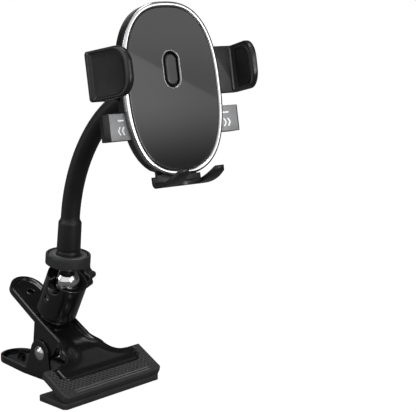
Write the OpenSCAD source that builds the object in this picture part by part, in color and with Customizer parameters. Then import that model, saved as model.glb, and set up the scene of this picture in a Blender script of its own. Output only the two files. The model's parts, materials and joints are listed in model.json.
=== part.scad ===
// Spring clamp with a small ball head, a bendable neck and an oval cradle
// with two side arms, two release levers, a trigger button and a foot.
// Millimetres, +Z up. The origin is the middle of the lower jaw's underside.

/* [Clamp] */
// Length of both pads along the jaw
pad_len = 90; // [80:1:110]
// Depth of a pad from its tip to its back edge
pad_dep = 28.7; // [26:0.1:30]
// Thickness of the lower pad, and of the upper pad's front face
pad_h = 4.6; // [4.4:0.1:5]
// Angle between the two jaws when the tips touch
jaw_v = 27.5; // [25:0.5:30]
// Thickness of the pressed steel
steel = 1.6; // [1.4:0.1:1.8]
// Radius of the jaw ears around the rivet
ear_r = 10; // [9:0.5:10.5]
// Radius of the rivet's shank
rivet_r = 3; // [2.5:0.1:3.5]

/* [Ball head] */
// Outer radius of the housing
house_r = 15.3; // [15:0.1:16]
// Height of the housing's rim above the jaw's steel
house_top = 37.2; // [37:0.1:37.6]
// Radius of the chrome ball
ball_r = 9.25; // [9:0.05:9.3]
// Height of the ball's centre above the jaw's steel
ball_h = 33.05; // [32.8:0.05:33.2]
// Radius of the lock disc on the stud
disc_r = 16.3; // [15:0.1:16.5]
// Thickness of the lock disc
disc_h = 9; // [8:0.5:9]

/* [Neck] */
// Radius of the bendable neck's sleeve
neck_r = 6.85; // [6:0.05:7]
// Lean of the neck's foot from the vertical
neck_lean = 6.74; // [5:0.1:8]
// Angle that the lower half of the neck turns through
bend_1 = 32.32; // [30:0.1:34]
// Angle that the upper half of the neck turns through
bend_2 = 35.5; // [33:0.1:37]

/* [Cradle] */
// Width of the oval body
body_w = 73.3; // [73:0.1:75]
// Height of the oval body
body_l = 110; // [108:0.5:114]
// Thickness of the oval body
body_t = 13.7; // [13.5:0.1:14.5]
// Width of the bright trim ring
trim_w = 3.4; // [3:0.1:4]
// Height of the side arms
arm_h = 31; // [28:0.5:31]
// Length of the paddle that stands out of the arm
paddle_l = 34; // [30:0.5:36]
// Travel of each side arm
arm_travel = 13.4; // [12:0.1:13.4]

/* [Hidden] */
$fn = 64;
e = 0.01;
run = 0.05;                 // running clearance of a pin in its bore
gap = 0.3;                  // clearance between curved moving parts
hinge_s = 63.5;             // rivet's distance behind the jaw tips
hinge_t = hinge_s * tan(jaw_v / 2);   // rivet's distance inside each contact plane
head_s = 76.67;             // ball head's distance behind the jaw tips
up_t = 6;                   // outer face of the upper jaw's steel
low_t = pad_h;              // outer face of the lower jaw's steel
low_hw = 16.6;              // outer half width of the lower jaw's ears
up_hw = 14.7;               // outer half width of the upper jaw's ears
handle_end = 111;           // centre of the handle's round end
hole_s = 107;               // hanging hole in each handle
neck_plane = 1.75;          // turn of the neck's bending plane
straight = 47.5;            // ball centre to the start of the bend
arc_1 = 70.36;
arc_2 = 61.69;
r_1 = arc_1 / (bend_1 * PI / 180);
r_2 = arc_2 / (bend_2 * PI / 180);
a_1 = bend_1 * 14 / arc_1;      // arc angle from the bend's start to joint 1
a_2 = bend_1 * 42 / arc_1;      // to joint 2
a_4 = bend_2 * 27 / arc_2;      // second arc, to joint 4
a_5 = bend_2 * 49.7 / arc_2;    // second arc, to the end of the sleeve
cradle_pos = [-4.33, -81.0, 221.82];
cradle_rot = [78.6, 0, -10.8];
sock_v = 3.94;              // height of the ball socket above the cradle's middle
sock_w = -33.75;            // ball centre behind the cradle's face
top_r = 8;                  // radius of the cradle's ball
oval_n = 2.53;              // exponent of the oval
arm_v = 10.85;              // height of the arms' middle
pitch_r = 6;                // pitch radius of the pinion
teeth = 12;
tooth_m = 1;
lean_in = 13.56;            // inward lean of a paddle

// ---------- helpers ----------
function arc(cx, cy, r, a0, a1, n = 8) =
    [for (i = [0:n]) let (a = a0 + (a1 - a0) * i / n) [cx + r * cos(a), cy + r * sin(a)]];
function flipx(p) = [for (i = [len(p) - 1:-1:0]) [-p[i][0], p[i][1]]];
// half of a jaw's outline from the tip side to the end of the handle, inset by d
function jaw_half(hw, d, f) = concat(
    [[0, f + d]],
    arc(31, f + 4, 4 - d, -90, 0, 4),
    arc(31, 25, 4 - d, 0, 90, 4),
    arc(31, 41, 12 + d, -90, -180, 10),
    [[hw - d, 52], [hw - d, 84]],
    arc(0, handle_end, 13.5 - d, 2, 90, 12));
function jaw_outline(hw, d, f) = concat(jaw_half(hw, d, f), flipx(jaw_half(hw, d, f)));
// how far a jaw's steel lies behind its pad's tip
function front_of(tp) = tp == up_t ? 14.5 : 9;
function sgn(x) = x < 0 ? -1 : 1;
function oval(w, l, n = 72) =
    [for (i = [0:n - 1]) let (a = 360 * (i + 0.5) / n)
        [w / 2 * sgn(cos(a)) * pow(abs(cos(a)), 2 / oval_n),
         l / 2 * sgn(sin(a)) * pow(abs(sin(a)), 2 / oval_n)]];
module stadium(w, l) {
    square([w, l - w], center = true);
    translate([0, (l - w) / 2]) circle(d = w);
    translate([0, -(l - w) / 2]) circle(d = w);
}
module on_upper() translate([0, -pad_dep / 2, pad_h]) rotate([jaw_v, 0, 0]) children();
module on_lower() translate([0, -pad_dep / 2, pad_h]) mirror([0, 0, 1]) children();
module at_head() on_upper() translate([0, head_s, up_t]) children();
// ball centre of the lower ball head, with +Z along the neck's foot
function ball_c() = let (s = head_s, t = up_t + ball_h)
    [0, -pad_dep / 2 + s * cos(jaw_v) - t * sin(jaw_v), pad_h + s * sin(jaw_v) + t * cos(jaw_v)];
module at_stud() translate(ball_c()) rotate([neck_lean, 0, 0]) children();
// start of the bend: local -Y is the side it leans to, X is the bending axis
module at_bend() at_stud() rotate([0, 0, neck_plane]) translate([0, 0, straight]) children();
module at_arc_1(a) at_bend() translate([0, -r_1, 0]) rotate([a, 0, 0]) translate([0, r_1, 0]) children();
module at_arc_2(a) at_arc_1(bend_1) translate([0, -r_2, 0]) rotate([a, 0, 0]) translate([0, r_2, 0]) children();
// a bent rod of radius r that starts at the child frame and turns through a
module bent(R, a, r) translate([0, -R, 0]) rotate([90, 0, 90])
    rotate_extrude(angle = a, $fn = 96) translate([R, 0]) circle(r = r, $fn = 48);
module on_cradle() translate(cradle_pos) rotate(cradle_rot) children();
module slab(w, l, z0, z1) translate([0, 0, z0]) linear_extrude(z1 - z0) polygon(oval(w, l));

// ---------- clamp ----------
// a pressed steel jaw in its own frame: X along the tip, Y back, Z outwards
module jaw(hw, tp) difference() {
    union() {
        translate([0, 0, tp - steel]) linear_extrude(steel) polygon(jaw_outline(hw, 0, front_of(tp)));
        // turned-in rim of the handle
        intersection() {
            translate([0, 0, tp - 5.5]) linear_extrude(5.5) difference() {
                polygon(jaw_outline(hw, 0, front_of(tp)));
                polygon(jaw_outline(hw, steel, front_of(tp)));
            }
            translate([-30, 33, tp - 6]) cube([60, 100, 7]);
        }
        // ears
        for (s = [-1, 1]) translate([s > 0 ? hw - steel : -hw, 0, 0])
            rotate([90, 0, 90]) linear_extrude(steel) {
                polygon([[50, tp - 0.5], [hinge_s - ear_r * cos(14), -hinge_t - ear_r * sin(14)],
                         [hinge_s + ear_r * cos(14), -hinge_t - ear_r * sin(14)], [82, tp - 0.5]]);
                translate([hinge_s, -hinge_t]) circle(r = ear_r);
            }
    }
    children();
}
module rivet_bore(r) translate([-40, hinge_s, -hinge_t]) rotate([0, 90, 0]) cylinder(r = r, h = 80);
module hang_hole(tp) translate([0, hole_s, tp - 10]) cylinder(r = 2.6, h = 20);
module lower_jaw() color("#151515") on_lower() jaw(low_hw, low_t) {
    rivet_bore(rivet_r);
    hang_hole(low_t);
}
module upper_jaw() color("#151515") on_upper() jaw(up_hw, up_t) {
    rivet_bore(rivet_r + run);
    hang_hole(up_t);
    translate([0, head_s, 0]) cylinder(r = 3, h = 20);
}
function pad_plan(c) = let (x = pad_len / 2, y = pad_dep)
    [[-x + c, 0], [x - c, 0], [x, c], [x, y - 1], [x - 1, y], [-x + 1, y], [-x, y - 1], [-x, c]];
// moulded pad with a recess that the steel wing lies in
module pad(tp, top) difference() {
    union() {
        linear_extrude(top - 0.6) polygon(pad_plan(2.4));
        translate([0, 0, top - 0.6]) linear_extrude(0.6)
            polygon([for (q = pad_plan(3)) [q[0] * 0.985, 0.8 + q[1] * 0.965]]);
    }
    hw = tp == up_t ? up_hw : low_hw;
    translate([0, 0, tp - steel]) linear_extrude(10) polygon(jaw_outline(hw, 0, front_of(tp)));
}
module lower_pad() color("#2a2a2a") on_lower() pad(low_t, low_t);
module upper_pad() color("#2a2a2a") on_upper() {
    pad(up_t, 5.6);
    for (y = [2.3, 4.3]) translate([-34.5, y, 5.2]) cube([69, 0.9, 0.8]);
}
module pivot_rivet() color("silver") on_lower() translate([0, hinge_s, -hinge_t]) rotate([0, 90, 0]) {
    translate([0, 0, -low_hw]) cylinder(r = rivet_r, h = 2 * low_hw);
    for (s = [0, 1]) mirror([0, 0, s]) translate([0, 0, low_hw])
        rotate_extrude() intersection() {
            translate([0, 0]) square([5.25, 2]);
            translate([0, -6.1]) circle(r = 8);
        }
}
// closely wound coil around the rivet, with one leg to each jaw
module torsion_spring() color("gray") on_lower() translate([0, hinge_s, -hinge_t]) {
    for (i = [-4:4]) translate([i * 1.9, 0, 0]) rotate([0, 90, 0])
        rotate_extrude() translate([5.2, 0]) circle(r = 1, $fn = 24);
    rotate([25.8, 0, 0]) translate([-7.6, -1.4, 5.2]) rotate([-90, 0, 0]) cylinder(r = 0.9, h = 29.4, $fn = 24);
    rotate([-jaw_v - 28.8, 0, 0]) translate([7.6, -1.4, -5.2]) rotate([-90, 0, 0]) cylinder(r = 0.9, h = 29.4, $fn = 24);
}

// ---------- ball head ----------
module mounting_screw() color("silver") at_head() {
    translate([0, 0, -steel - 3]) difference() {
        cylinder(r = 5, h = 3);
        translate([0, 0, -1]) cylinder(r = 2.5, h = 3, $fn = 6);
    }
    translate([0, 0, -steel - e]) cylinder(r = 3, h = 13);
}
module base_washer() color("#101010") at_head() difference() {
    cylinder(r = 12.2, h = 2.4);
    translate([0, 0, -1]) cylinder(r = 3 + run, h = 5);
}
lock_h = ball_h - 7.5;       // lock screw's height above the jaw's steel
module ball_housing() color("#0d0d0d") at_head() difference() {
    rotate_extrude() {
        polygon(concat([[0, 2.4], [11.5, 2.4]], arc(house_r - 3.2, 5.6, 3.2, -80, 0, 6),
            arc(house_r - 1.2, house_top - 1.2, 1.2, 0, 90, 5), [[0, house_top]]));
    }
    translate([0, 0, ball_h]) sphere(r = ball_r + gap);
    translate([0, 0, ball_h]) cylinder(r1 = 8.2, r2 = 9.2, h = 6);
    // mouth, higher at the back
    translate([0, 0, house_top - 1.6]) rotate([6, 0, 0]) translate([-30, -30, 0]) cube([60, 60, 20]);
    translate([0, 0, 14]) cylinder(r = 7.4, h = ball_h - 14);
    translate([0, 0, -1]) cylinder(r = 3 + run, h = 20);
    // notch that lets the stud lie over
    rotate([0, 0, 192]) translate([0, 0, ball_h - 1]) {
        rotate([0, 90, 0]) cylinder(r = 5.2, h = 30);
        translate([0, -5.2, 0]) cube([30, 10.4, 12]);
    }
    // lock screw's bore and set screw's bore
    rotate([0, 0, 20]) translate([0, 0, lock_h]) rotate([0, 90, 0]) cylinder(r = 3 + run, h = 30);
    rotate([0, 0, 184]) translate([0, 0, ball_h - 12.5]) rotate([0, 90, 0]) cylinder(r = 2.5, h = 30);
}
module ball_seat() color("#c9b26a") at_head() difference() {
    translate([0, 0, 14.3]) cylinder(r = 7.2, h = 14);
    translate([0, 0, ball_h]) sphere(r = ball_r + gap);
}
module set_screw() color("silver") at_head() rotate([0, 0, 184]) translate([7.6, 0, ball_h - 12.5]) rotate([0, 90, 0])
    difference() {
        cylinder(r = 2.5, h = 6.6);
        translate([0, 0, 4.4]) cylinder(r = 1.3, h = 4, $fn = 6);
    }
module lock_screw() color("silver") at_head() rotate([0, 0, 20]) translate([0, 0, lock_h]) rotate([0, 90, 0])
    translate([0, 0, 8.2]) cylinder(r = 3, h = 18);
module lock_knob() color("#161616") at_head() rotate([0, 0, 20]) translate([0, 0, lock_h]) rotate([0, 90, 0]) difference() {
    union() {
        translate([0, 0, 16]) cylinder(r = 5, h = 5);
        translate([0, 0, 20.4]) linear_extrude(10) {
            circle(r = 7.4);
            for (i = [0:5]) rotate(60 * i) translate([7.4, 0]) circle(r = 2.6);
        }
    }
    translate([0, 0, 10]) cylinder(r = 3, h = 16.2);
}
module ball_stud() color("silver") at_stud() {
    sphere(r = ball_r);
    cylinder(r = 4, h = 11.5);
    cylinder(r = 3, h = 34);
}
module lock_disc() color("#202020") at_stud() difference() {
    rotate_extrude() polygon(concat([[0, 11.5], [disc_r - 2.2, 11.5]], [[disc_r, 13.2]],
        [[disc_r, 11.5 + disc_h - 0.8], [disc_r - 0.8, 11.5 + disc_h], [disc_r - 2.4, 11.5 + disc_h],
         [disc_r - 2.4, 11.5 + disc_h - 1.4], [0, 11.5 + disc_h - 1.4]]));
    translate([0, 0, 5]) cylinder(r = 3 + run, h = 30);
}
module disc_grip() color("#2c2c2c") at_stud() translate([0, 0, 11.5 + disc_h - 1.4]) difference() {
    cylinder(r = disc_r - 2.4, h = 1.1);
    translate([0, 0, -1]) cylinder(r = 8.9, h = 4);
}

// ---------- neck ----------
// the end that carries the next link's dome
module neck_foot() color("#1b1b1b") {
    at_stud() difference() {
        rotate_extrude() polygon([[0, 19.4], [8.65, 19.4], [8.65, 22], [8.3, 44.8], [neck_r, 47.4], [neck_r, 47.7], [0, 47.7]]);
        translate([0, 0, 10]) cylinder(r = 3 + run, h = 24.3);
    }
    at_bend() bent(r_1, a_1, neck_r - 0.15);
    at_arc_1(a_1) sphere(r = dome);
}
dome = neck_r - 0.35;       // radius of a link's domed end
cup = neck_r + 0.35;        // radius of the hollow that covers it
module neck_link_1() color("#1b1b1b") {
    at_arc_1(a_1) difference() {
        bent(r_1, a_2 - a_1, neck_r - 0.15);
        sphere(r = cup);
    }
    at_arc_1(a_2) sphere(r = dome);
}
module neck_link_2() color("#1b1b1b") {
    at_arc_1(a_2) difference() {
        bent(r_1, bend_1 - a_2, neck_r - 0.15);
        sphere(r = cup);
    }
    at_arc_1(bend_1) sphere(r = dome);
}
module neck_link_3() color("#1b1b1b") {
    at_arc_2(0) difference() {
        bent(r_2, a_4, neck_r - 0.15);
        sphere(r = cup);
    }
    at_arc_2(a_4) sphere(r = dome);
}
module neck_end() color("#1b1b1b") {
    difference() {
        at_arc_2(a_4) difference() {
            bent(r_2, a_5 - a_4, neck_r - 0.15);
            sphere(r = cup);
        }
        top_axis() translate([0, 0, -21]) cylinder(r = 3 + run, h = 20);
    }
}
// cradle's ball, with +Z along the neck's last direction
module top_axis() at_arc_2(bend_2) children();
module top_ball() color("silver") top_axis() {
    sphere(r = top_r);
    translate([0, 0, -11.4]) cylinder(r = 4, h = 9);
    translate([0, 0, -20]) cylinder(r = 3, h = 16);
}

// ---------- cradle ----------
module at_sock() on_cradle() translate([0, sock_v, sock_w]) children();
module ball_ring() color("#333333") at_sock() difference() {
    translate([0, 0, -2.4]) cylinder(r = 9.5, h = 3);
    sphere(r = top_r + gap);
}
module ball_cup() color("#333333") at_sock() difference() {
    translate([0, 0, 0.8]) cylinder(r = 9.5, h = 8.9);
    sphere(r = top_r + gap);
}
module collar_nut() color("#141414") at_sock() difference() {
    union() {
        translate([0, 0, -4.4]) cylinder(r = 14, h = 19.4);
        for (i = [0:8]) rotate(40 * i) translate([14, 0, -3.6]) cylinder(r = 2.6, h = 17.8, $fn = 32);
    }
    translate([0, 0, -2.8]) cylinder(r = 11.5 + run, h = 30);
    translate([0, 0, -10]) cylinder(r = 8.9, h = 20);
}
inner = 0.93;
module back_shell() color("#191919") on_cradle() difference() {
    union() {
        hull() {
            slab(body_w - 0.8, body_l - 0.8, -10.2, -3.6);
            slab(body_w - 2.4, body_l - 2.4, -12, -11.6);
            slab(body_w - 5, body_l - 5, -13, -12.7);
            slab(body_w - 9.4, body_l - 9.4, -body_t, -body_t + 0.2);
        }
        // socket with its round rim
        translate([0, sock_v, sock_w - 2.7]) cylinder(r = 11.5, h = -sock_w - body_t + 3);
    }
    slab(body_w - 5, body_l - 5, -11.7, 0);
    // ball socket
    translate([0, sock_v, sock_w - 5]) cylinder(r = 9.8, h = 15);
    translate([0, sock_v, sock_w]) cylinder(r = 6, h = 16);
    // arm slots, lever slots and foot slot
    translate([-60, arm_v - arm_h / 2 - 0.3, -11.5]) cube([120, arm_h + 0.6, 4.2]);
    for (s = [-1, 1]) translate([s > 0 ? 28 : -48, -30.4, -11.6]) cube([20, 17.8, 9]);
    translate([-18.3, -70, -11.5]) cube([36.6, 30, 3.2]);
    // screw holes
    for (p = screw_pos) translate([p[0], p[1], -20]) cylinder(r = 1.5, h = 20);
    for (p = screw_pos) translate([p[0], p[1], -20]) cylinder(r = 2.9, h = 7.4);
}
screw_pos = [[-20.5, 36], [20.5, 36], [-21.5, -38], [21.5, -38]];
module boss_posts() {
    for (p = screw_pos) translate([p[0], p[1], -11.7]) difference() {
        cylinder(r = 3, h = 8.3);
        translate([0, 0, -1]) cylinder(r = 1.4, h = 7);
    }
}
module shell_screw(i) color("silver") on_cradle() translate([screw_pos[i][0], screw_pos[i][1], 0]) difference() {
    union() {
        translate([0, 0, -12.6]) mirror([0, 0, 1]) cylinder(r = 2.6, h = 1);
        translate([0, 0, -12.7]) cylinder(r = 1.4, h = 7);
    }
    for (a = [0, 90]) rotate(a) translate([-1.6, -0.3, -14]) cube([3.2, 0.6, 0.9]);
}
module back_patch() color("#4a4a4a") on_cradle() translate([0, 0, -body_t - 0.4]) linear_extrude(0.4) difference() {
    union() {
        translate([-13.2, -27]) square([26.4, 22]);
        translate([0, -27]) circle(r = 13.2);
    }
    translate([0, sock_v]) circle(r = 17.4);
}
module trim_ring() color("#e8e8e8") on_cradle() difference() {
    slab(body_w, body_l, -3.5, 0);
    slab(body_w - 2 * trim_w, body_l - 2 * trim_w, -5, 1);
}
module front_panel() color("#1e1e1e") on_cradle() {
    difference() {
        union() {
            slab(body_w - 2 * trim_w, body_l - 2 * trim_w, -3.5, -0.5);
            boss_posts();
            // button guide
            translate([0, 12, -6.4]) linear_extrude(3) stadium(15, 26.2);
        }
        translate([0, 12, -8]) linear_extrude(10) stadium(11.2, 22.4);
        translate([0, 12, -0.9]) linear_extrude(3) stadium(13.6, 24.8);
    }
    // pinion's post
    translate([0, arm_v, -7.3]) difference() {
        translate([-7.5, -1.2, 0]) cube([15, 2.4, 0.9]);
    }
    translate([0, arm_v, -11.5]) cylinder(r = 2, h = 4.3);
}
module trigger_rim() color("#d0d0d0") on_cradle() translate([0, 12, -0.9]) linear_extrude(1.1) difference() {
    stadium(13.6, 24.8);
    stadium(11.2, 22.4);
}
module trigger_button() color("#0a0a0a") on_cradle() difference() {
    translate([0, 12, -3.9]) linear_extrude(3.5) stadium(10.6, 21.8);
    translate([0, 12, -5]) linear_extrude(2.6) stadium(7.4, 18.6);
}
module trigger_spring() color("gray") on_cradle() translate([0, arm_v, -6.35])
    for (i = [0:3]) translate([0, 0, 0.45 + i * 0.98]) rotate_extrude() translate([2.6, 0]) circle(r = 0.5, $fn = 16);

// involute gear flank points for a tooth centred on +Y
function inv(a) = tan(a) * 180 / PI - a;
pr_ang = 25;
rb = pitch_r * cos(pr_ang);
half_t = 90 / teeth - 0.1 / pitch_r * 180 / PI;     // half tooth angle at the pitch circle
function flank(r) = let (a = r > rb ? acos(rb / r) : 0) half_t + inv(pr_ang) - inv(a);
function tooth_pts(c) = let (rs = [5.0, 5.44, 5.8, 6.2, 6.6, 6.95])
    concat([for (r = rs) let (t = c - flank(r)) [r * cos(t), r * sin(t)]],
           [for (i = [5:-1:0]) let (r = rs[i], t = c + flank(r)) [r * cos(t), r * sin(t)]]);
module pinion() color("#cfcfcf") on_cradle() translate([0, arm_v, -11.3]) linear_extrude(3.5) difference() {
    polygon([for (i = [0:teeth - 1]) for (p = tooth_pts(90 + i * 360 / teeth)) p]);
    circle(r = 2 + run);
}
// rack teeth that point to -Y, with the pitch line at Y = 0 and a gap centred on X = 0
rack_p = PI * tooth_m;
module rack_teeth(n0, n1) for (i = [n0:n1]) translate([(i + 0.5) * rack_p, 0]) {
    ht = rack_p / 4 - 0.1;
    k = tan(pr_ang);
    polygon([[-ht - 1.25 * k, 1.25], [-ht + 0.72 * k, -0.72], [ht - 0.72 * k, -0.72], [ht + 1.25 * k, 1.25]]);
}
// D shape of a paddle: X is the height, Y is the length, inset by d
module paddle(d) {
    h = arm_h / 2;
    translate([-h + d, d > 0 ? 9 : 0]) square([arm_h - 2 * d, paddle_l + 3 - 12 - (d > 0 ? 9 : 0)]);
    translate([-h + 12, 0]) square([arm_h - 24, paddle_l + 3 - d]);
    for (s = [-1, 1]) translate([s * (h - 12), paddle_l + 3 - 12]) circle(r = 12 - d);
}
// one arm in the left arm's place, with its rack above the pinion
module arm_raw() {
    translate([0, arm_v, -11.2]) linear_extrude(3.5) {
        translate([0, pitch_r]) rack_teeth(-6, 0);
        translate([-37, pitch_r + 1.2]) square([40, 6]);
        translate([-55.8, -arm_h / 2]) square([19.6, arm_h]);
    }
    paddle_at() linear_extrude(3.7) paddle(0);
}
// paddle frame: extrusion runs outwards from the inner face
module paddle_at() translate([-52.3, arm_v, -7.7]) rotate([0, lean_in, 0]) translate([0, 0, -3]) rotate([90, 0, -90]) mirror([1, 0, 0]) children();
module arm_pad_raw() difference() {
    paddle_at() translate([0, 0, -1.2]) linear_extrude(1.2) intersection() {
        paddle(2.6);
        translate([-20, 12.4]) square([40, 40]);
    }
}
module left_arm() color("#262626") on_cradle() arm_raw();
module right_arm() color("#262626") on_cradle() translate([0, 2 * arm_v, 0]) rotate([0, 0, 180]) arm_raw();
module left_arm_pad() color("#0c0c0c") on_cradle() arm_pad_raw();
module right_arm_pad() color("#0c0c0c") on_cradle() translate([0, 2 * arm_v, 0]) rotate([0, 0, 180]) arm_pad_raw();
// release lever, drawn on the left
module lever_raw() translate([0, -30, 0]) rotate([90, 0, 0]) mirror([0, 0, 1]) linear_extrude(17)
    polygon([[-28, -11.2], [-40, -11.2], [-42.6, -13.4], [-48.6, -13.4], [-48.6, -2.6], [-37, -3.9], [-28, -4.2]]);
module lever_cap_raw() translate([0, -30, 0]) rotate([90, 0, 0]) mirror([0, 0, 1]) linear_extrude(17)
    polygon([[-48.6, -13.4], [-49.6, -12.8], [-50.1, -8], [-49.6, -3.2], [-48.6, -2.6]]);
module left_lever() color("#8c8c8c") on_cradle() lever_raw();
module right_lever() color("#8c8c8c") on_cradle() mirror([1, 0, 0]) lever_raw();
module left_lever_cap() color("#141414") on_cradle() lever_cap_raw();
module right_lever_cap() color("#141414") on_cradle() mirror([1, 0, 0]) lever_cap_raw();
// foot: a plate that slides in the shell, bent forward into two upturned toes
foot_t = 2.8;
module foot_profile() {
    // drawn with X to the front and Y up
    translate([-11.2, -58]) square([foot_t, 24]);
    translate([-7.4, -58]) difference() {
        circle(r = 3.8);
        circle(r = 3.8 - foot_t);
        translate([0, -10]) square([20, 20]);
        translate([-10, 0]) square([20, 20]);
    }
    polygon([[-7.4, -61.8], [2, -61.6], [10, -59.6], [18, -56], [21.6, -53.4], [21.9, -51.6],
             [20.2, -51.4], [16.4, -53.9], [9, -57], [1.6, -58.9], [-7.4, -59]]);
}
module foot_bracket() color("#242424") on_cradle() difference() {
    intersection() {
        rotate([0, -90, 0]) translate([0, 0, -18]) linear_extrude(36) foot_profile();
        // plan seen along the cradle, with round tips
        translate([0, -20, 0]) rotate([90, 0, 0]) linear_extrude(50) {
            translate([-18, -20]) square([36, 32]);
            for (s = [-1, 1]) hull() {
                translate([s * 13.3, 17.9]) circle(r = 4.05);
                translate([s * 13.3 - 4.7, 10]) square([9.4, 2]);
            }
        }
    }
    translate([-8.6, -70, 6]) cube([17.2, 30, 30]);
    translate([0, -70, 6]) rotate([-90, 0, 0]) cylinder(r = 8.6, h = 30);
    for (s = [-1, 1]) translate([s > 0 ? 15 : -30, -54.5, -14]) cube([15, 30, 6]);
}
module foot_pad() color("#0c0c0c") on_cradle() translate([-16.5, -58.96, -6.5]) cube([33, 0.9, 3.2]);

lower_jaw();
upper_jaw();
lower_pad();
upper_pad();
pivot_rivet();
torsion_spring();
mounting_screw();
base_washer();
ball_housing();
ball_seat();
set_screw();
lock_screw();
lock_knob();
ball_stud();
lock_disc();
disc_grip();
neck_foot();
neck_link_1();
neck_link_2();
neck_link_3();
neck_end();
top_ball();
ball_ring();
ball_cup();
collar_nut();
back_shell();
back_patch();
trim_ring();
front_panel();
trigger_rim();
trigger_button();
trigger_spring();
pinion();
left_arm();
right_arm();
left_arm_pad();
right_arm_pad();
left_lever();
right_lever();
left_lever_cap();
right_lever_cap();
foot_bracket();
foot_pad();
shell_screw(0);  // screw_1
shell_screw(1);  // screw_2
shell_screw(2);  // screw_3
shell_screw(3);  // screw_4
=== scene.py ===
import json
import math

import bmesh
import bpy
import numpy as np
from mathutils import Matrix, Vector

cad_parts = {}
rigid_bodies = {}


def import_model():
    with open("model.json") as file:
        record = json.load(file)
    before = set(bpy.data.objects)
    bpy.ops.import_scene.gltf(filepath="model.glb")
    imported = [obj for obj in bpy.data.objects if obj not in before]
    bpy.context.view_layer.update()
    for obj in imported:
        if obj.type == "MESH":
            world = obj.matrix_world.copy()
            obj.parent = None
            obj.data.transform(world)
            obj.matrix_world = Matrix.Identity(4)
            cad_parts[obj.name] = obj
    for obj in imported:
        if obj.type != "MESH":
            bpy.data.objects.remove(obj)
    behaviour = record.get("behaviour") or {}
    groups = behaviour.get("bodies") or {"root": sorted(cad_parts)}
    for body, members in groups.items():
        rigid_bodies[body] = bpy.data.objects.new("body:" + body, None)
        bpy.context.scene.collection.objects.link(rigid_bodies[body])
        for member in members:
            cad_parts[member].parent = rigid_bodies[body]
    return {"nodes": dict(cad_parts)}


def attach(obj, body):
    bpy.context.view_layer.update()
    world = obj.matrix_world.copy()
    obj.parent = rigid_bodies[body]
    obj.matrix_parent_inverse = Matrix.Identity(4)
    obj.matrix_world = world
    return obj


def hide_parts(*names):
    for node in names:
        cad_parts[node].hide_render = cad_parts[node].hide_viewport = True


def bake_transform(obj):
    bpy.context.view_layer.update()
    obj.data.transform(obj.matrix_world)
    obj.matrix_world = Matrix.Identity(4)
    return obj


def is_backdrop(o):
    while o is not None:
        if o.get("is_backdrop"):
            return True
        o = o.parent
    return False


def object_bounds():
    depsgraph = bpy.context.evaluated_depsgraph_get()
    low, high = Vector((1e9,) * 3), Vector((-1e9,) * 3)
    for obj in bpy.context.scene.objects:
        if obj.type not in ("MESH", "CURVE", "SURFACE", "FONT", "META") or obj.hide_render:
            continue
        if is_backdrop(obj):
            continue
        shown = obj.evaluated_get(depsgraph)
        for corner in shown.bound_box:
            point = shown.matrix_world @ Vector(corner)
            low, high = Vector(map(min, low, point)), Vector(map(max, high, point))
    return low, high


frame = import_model()
cad_lo, cad_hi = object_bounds()
MM = 0.001
X, Y, Z = (1, 0, 0), (0, 1, 0), (0, 0, 1)


# ---------------------------------------------------------------- frames, in millimetres
def rmat(axis, deg):
    a = math.radians(deg)
    c, s = math.cos(a), math.sin(a)
    return {
        "x": np.array([[1, 0, 0], [0, c, -s], [0, s, c]]),
        "y": np.array([[c, 0, s], [0, 1, 0], [-s, 0, c]]),
        "z": np.array([[c, -s, 0], [s, c, 0], [0, 0, 1]]),
    }[axis]


class Fr:
    def __init__(self, r=None, t=(0, 0, 0)):
        self.r = np.eye(3) if r is None else r
        self.t = np.array(t, float)

    def tr(self, v):
        return Fr(self.r, self.t + self.r @ np.array(v, float))

    def rot(self, axis, deg):
        return Fr(self.r @ rmat(axis, deg), self.t)

    def flip(self, diag):
        return Fr(self.r @ np.diag(diag), self.t)

    def p(self, v=(0, 0, 0)):
        return self.t + self.r @ np.array(v, float)

    def d(self, v):
        return self.r @ np.array(v, float)

    def pts(self, v):
        return np.asarray(v, float) @ self.r.T + self.t


PAD_DEP, PAD_H, JAW_V, HEAD_S, UP_T, BALL_H = 28.7, 4.6, 27.5, 76.67, 6.0, 33.05
LEAN, PLANE, STRAIGHT = 6.74, 1.75, 47.5
BEND_1, BEND_2, ARC_1, ARC_2 = 32.32, 35.5, 70.36, 61.69
R_1, R_2 = ARC_1 / math.radians(BEND_1), ARC_2 / math.radians(BEND_2)
HINGE_S = 63.5
HINGE_T = HINGE_S * math.tan(math.radians(JAW_V / 2))
LOW_HW, UP_HW, STEEL = 16.6, 14.7, 1.6
ROW = Fr()
upper = Fr().tr((0, -PAD_DEP / 2, PAD_H)).rot("x", JAW_V)
lower = Fr().tr((0, -PAD_DEP / 2, PAD_H)).flip((1, 1, -1))
head = upper.tr((0, HEAD_S, UP_T))
stud = Fr(t=upper.p((0, HEAD_S, UP_T + BALL_H))).rot("x", LEAN)
bend = stud.rot("z", PLANE).tr((0, 0, STRAIGHT))


def arc_1(a):
    return bend.tr((0, -R_1, 0)).rot("x", a).tr((0, R_1, 0))


def arc_2(a):
    return arc_1(BEND_1).tr((0, -R_2, 0)).rot("x", a).tr((0, R_2, 0))


def neck_at(s):
    """The neck's frame at arc length s from the start of the bend; below 0 it is on the stud's axis."""
    if s <= 0:
        return bend.tr((0, 0, s))
    if s <= ARC_1:
        return arc_1(BEND_1 * s / ARC_1)
    return arc_2(BEND_2 * (s - ARC_1) / ARC_2)


top = arc_2(BEND_2)
cradle = Fr(t=(-4.33, -81.0, 221.82)).rot("z", -10.8).rot("x", 78.6)
sock = cradle.tr((0, 3.94, -33.75))
ARM_V = 10.85


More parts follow.
